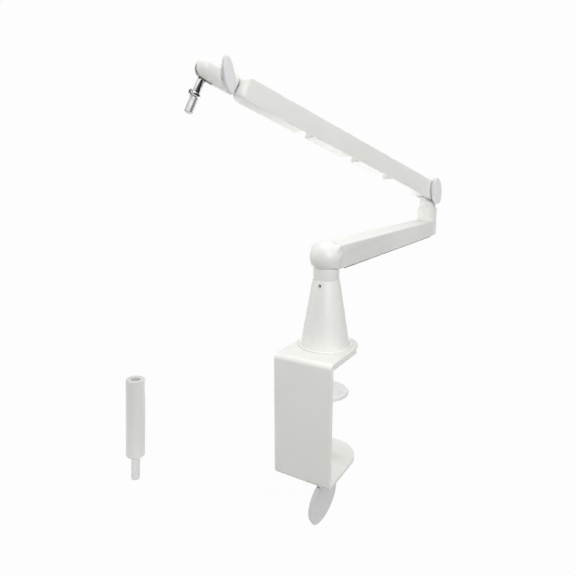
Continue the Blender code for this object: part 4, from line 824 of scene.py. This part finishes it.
def make_yoke():
    low = SLEEVE_TOP + SEAM
    neck = turned([(0, SHAFT_LOW, 0), (SHAFT_RADIUS, SHAFT_LOW, 0.4), (SHAFT_RADIUS, low, 0),
                   (YOKE_RADIUS, low, 0.2), (YOKE_RADIUS, YOKE_TOP, 0.8), (0, YOKE_TOP, 0)])
    near, far, top = PIVOT_OFFSET - YOKE_EYE, PIVOT_OFFSET + YOKE_EYE, PIVOT_HEIGHT + YOKE_EYE
    foot = YOKE_TOP - 1
    tongue = outline([(near, foot, 0), (YOKE_EYE, foot, 0), (far, PIVOT_HEIGHT - 0.1, 0),
                      (far, top, YOKE_EYE), (near, top, YOKE_EYE)], 20)
    tongue = softened(placed(slab(tongue, low=-5.5, high=5.5), ALONG_Y), 0.8, 4, EDGES_ONLY)
    hole = placed(rod(BOLT_RADIUS + GAP, -9, 9), ALONG_Y @ shifted(PIVOT_OFFSET, PIVOT_HEIGHT, 0))
    tongue = carved(tongue, hole)
    piece("fine_elbow_yoke", together(neck, tongue), "white_alloy", "yoke", YOKE)


# Upper arm
UPPER_HALF = 12.35
UPPER_TALL = 12.85  # half its height
UPPER_WALL = 1.8
BOX_FLOOR = -3.35
TUBE_START = 13.63
TUBE_END = 326.97
FORK_SLOT_HALF = 6.9
FORK_SLOT_END = 12.2
PLUG_HALF = 10.2
PLUG_LOW = -1.2
PLUG_HIGH = 10.7
PLUG_LENGTH = 14.0
PLUG_SCREW_HOLE = 1.7
PLUG_SCREW_IN = 7.0  # from the tube's end
HEAD_SHAFT_HOLE = 6.3
COVER_SHARES = ((0.0, 0.2184), (0.2807, 0.4204), (0.4763, 0.68), (0.7366, 1.0))
COVERS_START = 13.9
COVERS_END = 326.7
COVER_FLOOR = -11.05
COVER_RIB = 1.2
NOTCH_HALF = 4.0


def plug_screw_hole(x, low, high):
    return placed(rod(PLUG_SCREW_HOLE, low, high), shifted(x, 0, 0))


def make_upper_tube():
    skirt = UPPER_HALF - UPPER_WALL
    profile = outline([(-UPPER_HALF, BOX_FLOOR, 0), (skirt, BOX_FLOOR, 0), (skirt, -UPPER_TALL, 0.3),
                       (UPPER_HALF, -UPPER_TALL, 0.5), (UPPER_HALF, UPPER_TALL, BOX_CORNER),
                       (-UPPER_HALF, UPPER_TALL, BOX_CORNER)])
    tube = placed(slab(profile, TUBE_START, TUBE_END), ALONG_X)
    inside = block((TUBE_START - PAST, -skirt, BOX_FLOOR + UPPER_WALL),
                   (TUBE_END + PAST, skirt, UPPER_TALL - UPPER_WALL))
    holes = [plug_screw_hole(x, BOX_FLOOR - PAST, BOX_FLOOR + WALL_CUT)
             for x in (TUBE_START + PLUG_SCREW_IN, TUBE_END - PLUG_SCREW_IN)]
    tube = carved(tube, inside, together(*holes))
    piece("fine_upper_arm_tube", softened(tube, 0.2, 2, EDGES_ONLY), "white_alloy", "upper_arm", ARM)


def tube_plug(low, high, screw_at):
    """Block that fills the tube's end, with the hole for its screw."""
    plug = block((low, -PLUG_HALF, PLUG_LOW), (high, PLUG_HALF, PLUG_HIGH))
    return carved(plug, plug_screw_hole(screw_at, BOX_FLOOR, BOX_FLOOR + 7))


def make_fork():
    back = TUBE_START - END_GAP
    body = outline([(back, -UPPER_TALL, 0), (back, UPPER_TALL, 0), (-UPPER_TALL, UPPER_TALL, UPPER_TALL),
                    (-UPPER_TALL, -UPPER_TALL, UPPER_TALL)], CURVE_STEPS)
    body = placed(slab(body, -UPPER_HALF, UPPER_HALF), ALONG_Y)
    slot = block((-16, -FORK_SLOT_HALF, -16), (FORK_SLOT_END, FORK_SLOT_HALF, 16))
    body = softened(carved(body, slot), 0.8, 4, EDGES_ONLY)
    body = carved(body, placed(rod(BOLT_RADIUS + GAP, -15, 15), ALONG_Y))
    plug = tube_plug(12.8, back + PLUG_LENGTH, TUBE_START + PLUG_SCREW_IN)
    piece("fine_upper_arm_fork", together(body, plug), "white_alloy", "upper_arm", ARM)
    bolt = turned([(0, -BOLT_HEAD_HIGH, 0), (BOLT_HEAD, -BOLT_HEAD_HIGH, 1.2),
                   (BOLT_HEAD, 0, 0.2), (BOLT_RADIUS, 0, 0), (BOLT_RADIUS, BOLT_LENGTH, 0.4),
                   (0, BOLT_LENGTH, 0)], SMALL_STEPS)
    socket = slab(round_face(radius=2.9, steps=6), low=-5, high=-1.2)
    bolt = carved(bolt, socket)
    bolt = placed(bolt, ALONG_Y @ shifted(0, 0, -UPPER_HALF - GAP))
    piece("fine_elbow_bolt", bolt, "steel", "upper_arm", ARM)


def make_head_end():
    end = domed_end(UPPER_HALF, -UPPER_TALL, UPPER_TALL, back=UPPER_LENGTH - TUBE_END - END_GAP, crown=10.0,
                    foot=8.0, edge=BOX_CORNER)
    nose = UPPER_LENGTH + UPPER_HALF
    hole = placed(rod(HEAD_SHAFT_HOLE, nose - 12.3, nose + 4), ALONG_X)
    end = carved(placed(end, shifted(UPPER_LENGTH, 0, 0)), hole)
    plug = tube_plug(TUBE_END - PLUG_LENGTH, TUBE_END + 1.2, TUBE_END - PLUG_SCREW_IN)
    piece("fine_upper_arm_head_end", together(end, plug), "white_alloy", "upper_arm", ARM)


def make_covers():
    """Channel covers with a rib across each end and a finger notch in each lip."""
    near = UPPER_HALF - UPPER_WALL - GAP
    lip = -UPPER_HALF + UPPER_WALL
    top = BOX_FLOOR - GAP
    for number, (start, end) in enumerate(COVER_SHARES, 1):
        section = outline([(-UPPER_HALF, -UPPER_TALL, 1.0), (near, -UPPER_TALL, 0.2), (near, COVER_FLOOR, 0),
                           (lip, COVER_FLOOR, 0.4), (lip, top, 0.3), (-UPPER_HALF, top, 0.3)])
        low = COVERS_START + (COVERS_END - COVERS_START) * start
        high = COVERS_START + (COVERS_END - COVERS_START) * end
        middle = (low + high) / 2
        notch = block((middle - NOTCH_HALF, -14, -14), (middle + NOTCH_HALF, -11.8, -12.2))
        ribs = [block((x, lip - 0.5, COVER_FLOOR - 0.55), (x + COVER_RIB, near, top))
                for x in (low, high - COVER_RIB)]
        cover = placed(slab(section, low, high), ALONG_X)
        cover = worked(cover, ("DIFFERENCE", notch), ("UNION", together(*ribs)))
        cover = softened(cover, 0.25, 2, EDGES_ONLY)
        # The covers get the brighter white alloy colour instead of their plastic's own: painted light on
        # their downward-facing undersides.
        piece(f"fine_cable_cover_{number}", cover, "white_plastic", f"cover_{number}", ARM, "white_alloy")


# Knobs
KNOB_LOW = 12.65
KNOB_CUT_LOW = 12.0  # where the bore's tool starts
KNOB_BOSS = 6.2
KNOB_BLADE_LOW = 14.85
KNOB_BLADE_HIGH = 22.35
KNOB_ROOF = 0.5  # left over the bore


def knob(length, width, bore):
    """Oval wing with a crowned rim and the boss that it stands on."""
    blade = softened(slab(oval(length, width), KNOB_BLADE_LOW, KNOB_BLADE_HIGH), 2.4, 8, EDGES_ONLY)
    blade = carved(blade, rod(bore, KNOB_CUT_LOW, KNOB_BLADE_HIGH - KNOB_ROOF))
    top = KNOB_BLADE_LOW + 0.35
    boss = turned([(bore, KNOB_LOW, 0.2), (KNOB_BOSS, KNOB_LOW, 0.4), (KNOB_BOSS, top - 1, 0),
                   (KNOB_BOSS + 0.8, top, 0), (bore, top, 0)], SMALL_STEPS, FINE_CORNER)
    return placed(together(blade, boss), ALONG_Y)


def make_knobs():
    wing = knob(length=40.0, width=16.8, bore=4.9)
    piece("fine_elbow_knob", wing, "white_plastic", "elbow_clamp_knob", ELBOW_KNOB)
    wing = knob(length=40.8, width=13.2, bore=3.3)
    piece("fine_head_knob", wing, "white_plastic", "head_clamp_knob", HEAD_KNOB)


# Head
HOUSING_RADIUS = 12.2
HOUSING_LENGTH = 49.0
HOUSING_BORE = 21.9
HEAD_SLOT_START = 24.6
HEAD_SLOT_HALF = 3.5
PIVOT_HOLE = 2.8
TAB_END = -14.0
WASHER_AT = 2.85
STUD_RADIUS = 4.4
STUD_START = -13.0
STUD_END = -34.0
STUD_CORE = 3.1
STUD_CORE_END = -44.0
TIP_RADIUS = 4.76
TIP_ROOT = 4.55
TIP_PITCH = 1.5875  # 16 threads to the inch
TIP_START = -34.5
TIP_END = -51.6
EAR_AT = 8.1
EAR_HEADING = 30.0


def make_head():
    """Round housing with a domed nose and the slot that the stud tilts in."""
    radius = HOUSING_RADIUS
    housing = turned([(0, HOUSING_BORE, 0), (HEAD_SHAFT_HOLE, HOUSING_BORE, 0),
                      (HEAD_SHAFT_HOLE, 0, 0), (radius, 0, 1.4), (radius, 10, 0), (radius, 22, 0),
                      (radius, HOUSING_LENGTH, radius), (0, HOUSING_LENGTH, 0)], ROUND_STEPS, 16)
    housing = placed(housing, ALONG_X)
    slot = block((HEAD_SLOT_START, -HEAD_SLOT_HALF, -15), (HOUSING_LENGTH + 3, HEAD_SLOT_HALF, 15))
    pin = placed(rod(PIVOT_HOLE, low=-8.3, high=8.3), ALONG_Y @ shifted(STUD_PIVOT_AT, 0, 0))
    seat = placed(rod(radius=4.9, low=4, high=15), ALONG_Y @ shifted(HEAD_KNOB_AT, 0, 0))
    housing = carved(housing, slot, pin, seat)
    piece("fine_head_housing", softened(housing, 0.3, 2, 50), "white_alloy", "head", HEAD)


def make_stud():
    """Chrome stud with its rimmed eye, a dark washer on each side of it, and the threaded tip. The washers'
    near-black is partly their plastic's own colour and partly painted shade for the gap beside the eye.
    """
    eye = placed(rod(radius=8.3, low=-2.3, high=2.3, steps=ROUND_STEPS), ALONG_Y)
    tab = softened(block((-4.2, -3.2, TAB_END), (4.2, 3.2, 0)), 0.3, 2)
    hole = placed(rod(PIVOT_HOLE, -6, 6), ALONG_Y)
    rim = rod(radius=11.6, low=-2.4, high=2.4, steps=ROUND_STEPS)
    rim = placed(softened(rim, 0.4, 3, EDGES_ONLY), ALONG_Y)
    body = worked(eye, ("UNION", rim), ("UNION", tab), ("DIFFERENCE", hole))
    # Near-black plastic washers: partly their own colour, partly painted shade that darkens the gap each side
    # of the eye.
    washers = []
    for side in (-1, 1):
        washer = turned_ring(bore=3.0, radius=11.1, low=-0.35, high=0.35, edges=(0.1, 0.15, 0.15, 0.1),
                             corner_steps=FINE_CORNER)
        washers.append(placed(washer, ALONG_Y @ shifted(0, 0, side * WASHER_AT)))
    washers = carved(together(*washers), block((-4.4, -4, TAB_END - 1), (4.4, 4, -6)))
    piece("stud_washers_and_painted_shade", washers, "bearing_plastic", "stud", STUD)
    shaft = turned([(0, STUD_CORE_END, 0), (STUD_CORE, STUD_CORE_END, 0.3), (STUD_CORE, STUD_END, 0),
                    (STUD_RADIUS, STUD_END, 0.3), (STUD_RADIUS, STUD_START, 0.8), (0, STUD_START, 0)],
                   ROUND_STEPS, 4)
    piece("fine_mic_stud", together(body, shaft), "chrome", "stud", STUD)
    pin = turned_pin(radius=2.5, low=-8.0, high=8.0, foot=0.3, head=0.3)
    piece("fine_stud_pivot_pin", placed(pin, ALONG_Y), "steel", "stud", STUD)
    core, bore = TIP_ROOT + SEAM, STUD_CORE + GAP
    start, floor, nose = STUD_END - GAP, STUD_CORE_END - GAP, TIP_END - 0.8
    tip = turned([(0, nose, 0), (3.9, nose, 0.3), (core, TIP_END, 0), (core, start, 0), (bore, start, 0),
                  (bore, floor, 0), (0, floor, 0)], SMALL_STEPS, FINE_CORNER)
    thread = threaded(TIP_ROOT, TIP_RADIUS, TIP_PITCH, TIP_END, TIP_START)
    piece("fine_mic_thread_tip", together(tip, thread), "satin_metal", "stud", STUD)


def make_lock_ring():
    """Round nut with a looped ear to turn it by."""
    nut = turned_ring(bore=4.7, radius=6.5, low=-2.1, high=2.1, edges=(0.2, 1.3, 1.3, 0.2))
    ear = softened(rod(radius=3.2, low=-0.9, high=0.9), 0.6, 4, EDGES_ONLY)
    ear = carved(ear, rod(radius=1.4, low=-3, high=3))
    ear = placed(ear, rolled(EAR_HEADING, "Z") @ ALONG_Y @ shifted(EAR_AT, 0, 0))
    piece("fine_mic_lock_ring", together(nut, ear), "chrome", "lock_ring", LOCK_RING)


# Extension post
RISER_LOW = 36.0
RISER_TOP = 146.5
RISER_SOCKET = 6.05
RISER_FLOOR = 106.5


def make_riser():
    tube = turned([(0, RISER_LOW, 0), (COLLAR_RADIUS, RISER_LOW, 0.6), (COLLAR_RADIUS, RISER_TOP, 0.6),
                   (RISER_SOCKET, RISER_TOP, 0.4), (RISER_SOCKET, RISER_FLOOR, 0),
                   (0, RISER_FLOOR, 0)])
    # Tube and spigot get the darker copy of the white alloy: painted shade, not a grey paint.
    piece("fine_riser_tube", tube, "white_alloy", "riser", RISER, "painted_shade_alloy")
    spigot = turned_pin(SPIGOT_RADIUS, 0, RISER_LOW - GAP, 0.6, 0, ROUND_STEPS, CORNER_STEPS)
    piece("fine_riser_spigot", spigot, "white_alloy", "riser", RISER, "painted_shade_alloy")


# Studio
PAPER_WHITE = (0.982, 0.982, 0.982, 1)
AMBIENT = 0.30
FLOOR_WHITE = 0.94
FLOOR_SIZE = 4.0
FLOOR_GAP = 0.0002  # under the lowest point
FLOOR_CARD_HEADING = -53.0
FLOOR_CARD_FROM = 0.08
CHROME_MIDDLE = (-0.175, 0.03)
CHROME_DISTANCE = 0.45
CHROME_CARD_LOW = -0.05
CHROME_CARD_HIGH = 0.62
CHROME_CARDS = ((-66.0, 47.0, 0.0), (-92.0, -69.0, 0.36), (-126.0, -93.0, 0.62), (-150.0, -143.0, 0.05),
                (-167.0, -151.0, 0.40), (-196.0, -168.0, 0.16))  # from and to a heading, and the grey
LAMPS = (  # place, what it points at, size and watts
    ("top_softbox", (-0.1, 0.15, 1.5), (-0.05, 0.15, 0.0), (1.4, 1.4), 10.8),
    ("key_softbox", (1.0, -1.0, 0.75), (-0.03, 0.1, 0.1), (1.0, 1.0), 19.5),
    ("side_softbox", (-1.3, -0.15, 0.45), (-0.05, 0.05, 0.05), (0.9, 1.1), 8.0),
    ("under_softbox", (-0.16, 0.38, -0.12), (-0.09, 0.17, 0.22), (0.5, 0.3), 0.9),
)
CAMERA_PLACE = (0.1968, -0.3994, 0.1634)
CAMERA_TURN = (77.42, 0.0, 30.95)  # degrees
CAMERA_LENS = 29.48


def show_as_paper(tree, lit, emission):
    """Mixes plain white into a shader for camera, glossy and transmission rays."""
    rays = tree.nodes.new("ShaderNodeLightPath")
    seen = rays.outputs["Is Camera Ray"]
    link = tree.links.new
    for name in ("Is Glossy Ray", "Is Transmission Ray"):
        total = tree.nodes.new("ShaderNodeMath")
        total.operation = "MAXIMUM"
        link(seen, total.inputs[0])
        link(rays.outputs[name], total.inputs[1])
        seen = total.outputs["Value"]
    mix = tree.nodes.new("ShaderNodeMixShader")
    link(lit, mix.inputs[1])
    link(emission, mix.inputs[2])
    return mix, seen


def make_world():
    world = bpy.data.worlds.new("studio")
    bpy.context.scene.world = world
    world.use_nodes = True
    tree = world.node_tree
    ambient = tree.nodes["Background"]
    set_inputs(ambient, {"Color": (1.0, 1.0, 1.0, 1), "Strength": AMBIENT})
    paper = tree.nodes.new("ShaderNodeBackground")
    set_inputs(paper, {"Color": PAPER_WHITE, "Strength": 1.0})
    mix, seen = show_as_paper(tree, ambient.outputs["Background"], paper.outputs["Background"])
    tree.links.new(seen, mix.inputs["Fac"])
    tree.links.new(mix.outputs["Shader"], tree.nodes["World Output"].inputs["Surface"])


def make_floor():
    shape = bmesh.new()
    bmesh.ops.create_grid(shape, x_segments=1, y_segments=1, size=FLOOR_SIZE)
    bmesh.ops.translate(shape, vec=(0, 0, cad_box[0][2] - FLOOR_GAP), verts=shape.verts)
    floor = stand("floor", shape)
    made, tree, shader = new_material("paper_floor", (0.9, 0.9, 0.9), 0.9)
    paper = tree.nodes.new("ShaderNodeEmission")
    set_inputs(paper, {"Color": PAPER_WHITE, "Strength": 1.0})
    mix, seen = show_as_paper(tree, shader.outputs["BSDF"], paper.outputs["Emission"])
    where = tree.nodes.new("ShaderNodeTexCoord")
    near = tree.nodes.new("ShaderNodeTexGradient")
    near.gradient_type = "SPHERICAL"
    link = tree.links.new
    link(where.outputs["Object"], near.inputs["Vector"])
    plain = tree.nodes.new("ShaderNodeMapRange")
    set_inputs(plain, {"To Min": 1.0, "To Max": FLOOR_WHITE})
    link(near.outputs["Fac"], plain.inputs["Value"])
    share = tree.nodes.new("ShaderNodeMath")
    share.operation = "MULTIPLY"
    link(seen, share.inputs[0])
    link(plain.outputs["Result"], share.inputs[1])
    link(share.outputs["Value"], mix.inputs["Fac"])
    link(mix.outputs["Shader"], tree.nodes["Material Output"].inputs["Surface"])
    floor.data.materials.append(made)


def make_lamp(name, place, target, size, power):
    light = bpy.data.lights.new(name, "AREA")
    light.shape = "RECTANGLE"
    light.size, light.size_y = size
    light.energy = power
    lamp = bpy.data.objects.new(name, light)
    lamp.location = place
    lamp.rotation_euler = (Vector(target) - Vector(place)).to_track_quat("-Z", "Y").to_euler()
    bpy.context.scene.collection.objects.link(lamp)


def make_card(name, shape, ray_kind, grey=0.0):
    """Card of plain grey that only one kind of light ray meets."""
    card = stand(name, shape)
    made, tree, shader = new_material(name, (0.01, 0.01, 0.01), 0.9)
    set_inputs(shader, {"Emission Color": (grey, grey, grey, 1), "Emission Strength": 1.0})
    clear = tree.nodes.new("ShaderNodeBsdfTransparent")
    rays = tree.nodes.new("ShaderNodeLightPath")
    mix = tree.nodes.new("ShaderNodeMixShader")
    link = tree.links.new
    link(rays.outputs[ray_kind], mix.inputs["Fac"])
    link(clear.outputs["BSDF"], mix.inputs[1])
    link(shader.outputs["BSDF"], mix.inputs[2])
    link(mix.outputs["Shader"], tree.nodes["Material Output"].inputs["Surface"])
    card.data.materials.append(made)


def curved_card(middle, radius, low, high, start, end):
    """Upright card bent round a middle, from one heading to another, in degrees."""
    shape = bmesh.new()
    heading = radians(start)
    foot = shape.verts.new((middle[0] + radius * cos(heading), middle[1] + radius * sin(heading), low))
    top = shape.verts.new((foot.co.x, foot.co.y, high))
    edge = shape.edges.new((foot, top))
    bmesh.ops.spin(shape, geom=[foot, top, edge], cent=(middle[0], middle[1], 0), axis=(0, 0, 1),
                   angle=radians(end - start), steps=24)
    return shape


def make_cards():
    """Grey cards that the chrome mirrors, and a dark one on the floor before the clamp."""
    for number, (start, end, grey) in enumerate(CHROME_CARDS, 1):
        card = curved_card(CHROME_MIDDLE, CHROME_DISTANCE, CHROME_CARD_LOW, CHROME_CARD_HIGH, start, end)
        make_card(f"chrome_card_{number}", card, "Is Glossy Ray", grey)
    shape = bmesh.new()
    bmesh.ops.create_grid(shape, x_segments=1, y_segments=1, size=1.0)
    bmesh.ops.scale(shape, vec=(1.0, 1.6, 1), verts=shape.verts)
    place = rolled(FLOOR_CARD_HEADING, "Z") @ shifted(1.0 + FLOOR_CARD_FROM, 0, cad_box[0][2] - FLOOR_GAP / 2)
    bmesh.ops.transform(shape, matrix=place, verts=shape.verts)
    make_card("floor_card", shape, "Is Diffuse Ray")


def make_studio():
    make_world()
    make_floor()
    make_cards()
    for lamp in LAMPS:
        make_lamp(*lamp)


def make_camera():
    camera = bpy.data.cameras.new("camera")
    camera.sensor_width = 36
    camera.lens = CAMERA_LENS
    camera.clip_start = 0.01
    view = bpy.data.objects.new("camera", camera)
    view.location = CAMERA_PLACE
    view.rotation_euler = [radians(turn) for turn in CAMERA_TURN]
    bpy.context.scene.collection.objects.link(view)
    bpy.context.scene.camera = view


make_bracket()
make_clamp_fittings()
make_pressure_foot()
make_clamp_screw()
make_clamp_handle()
make_base()
make_lower_post()
make_lower_tube()
make_lower_covers()
make_lower_ends()
make_yoke()
make_upper_tube()
make_fork()
make_head_end()
make_covers()
make_knobs()
make_head()
make_stud()
make_lock_ring()
make_riser()
make_studio()
make_camera()
bpy.context.scene.view_settings.view_transform = "Standard"
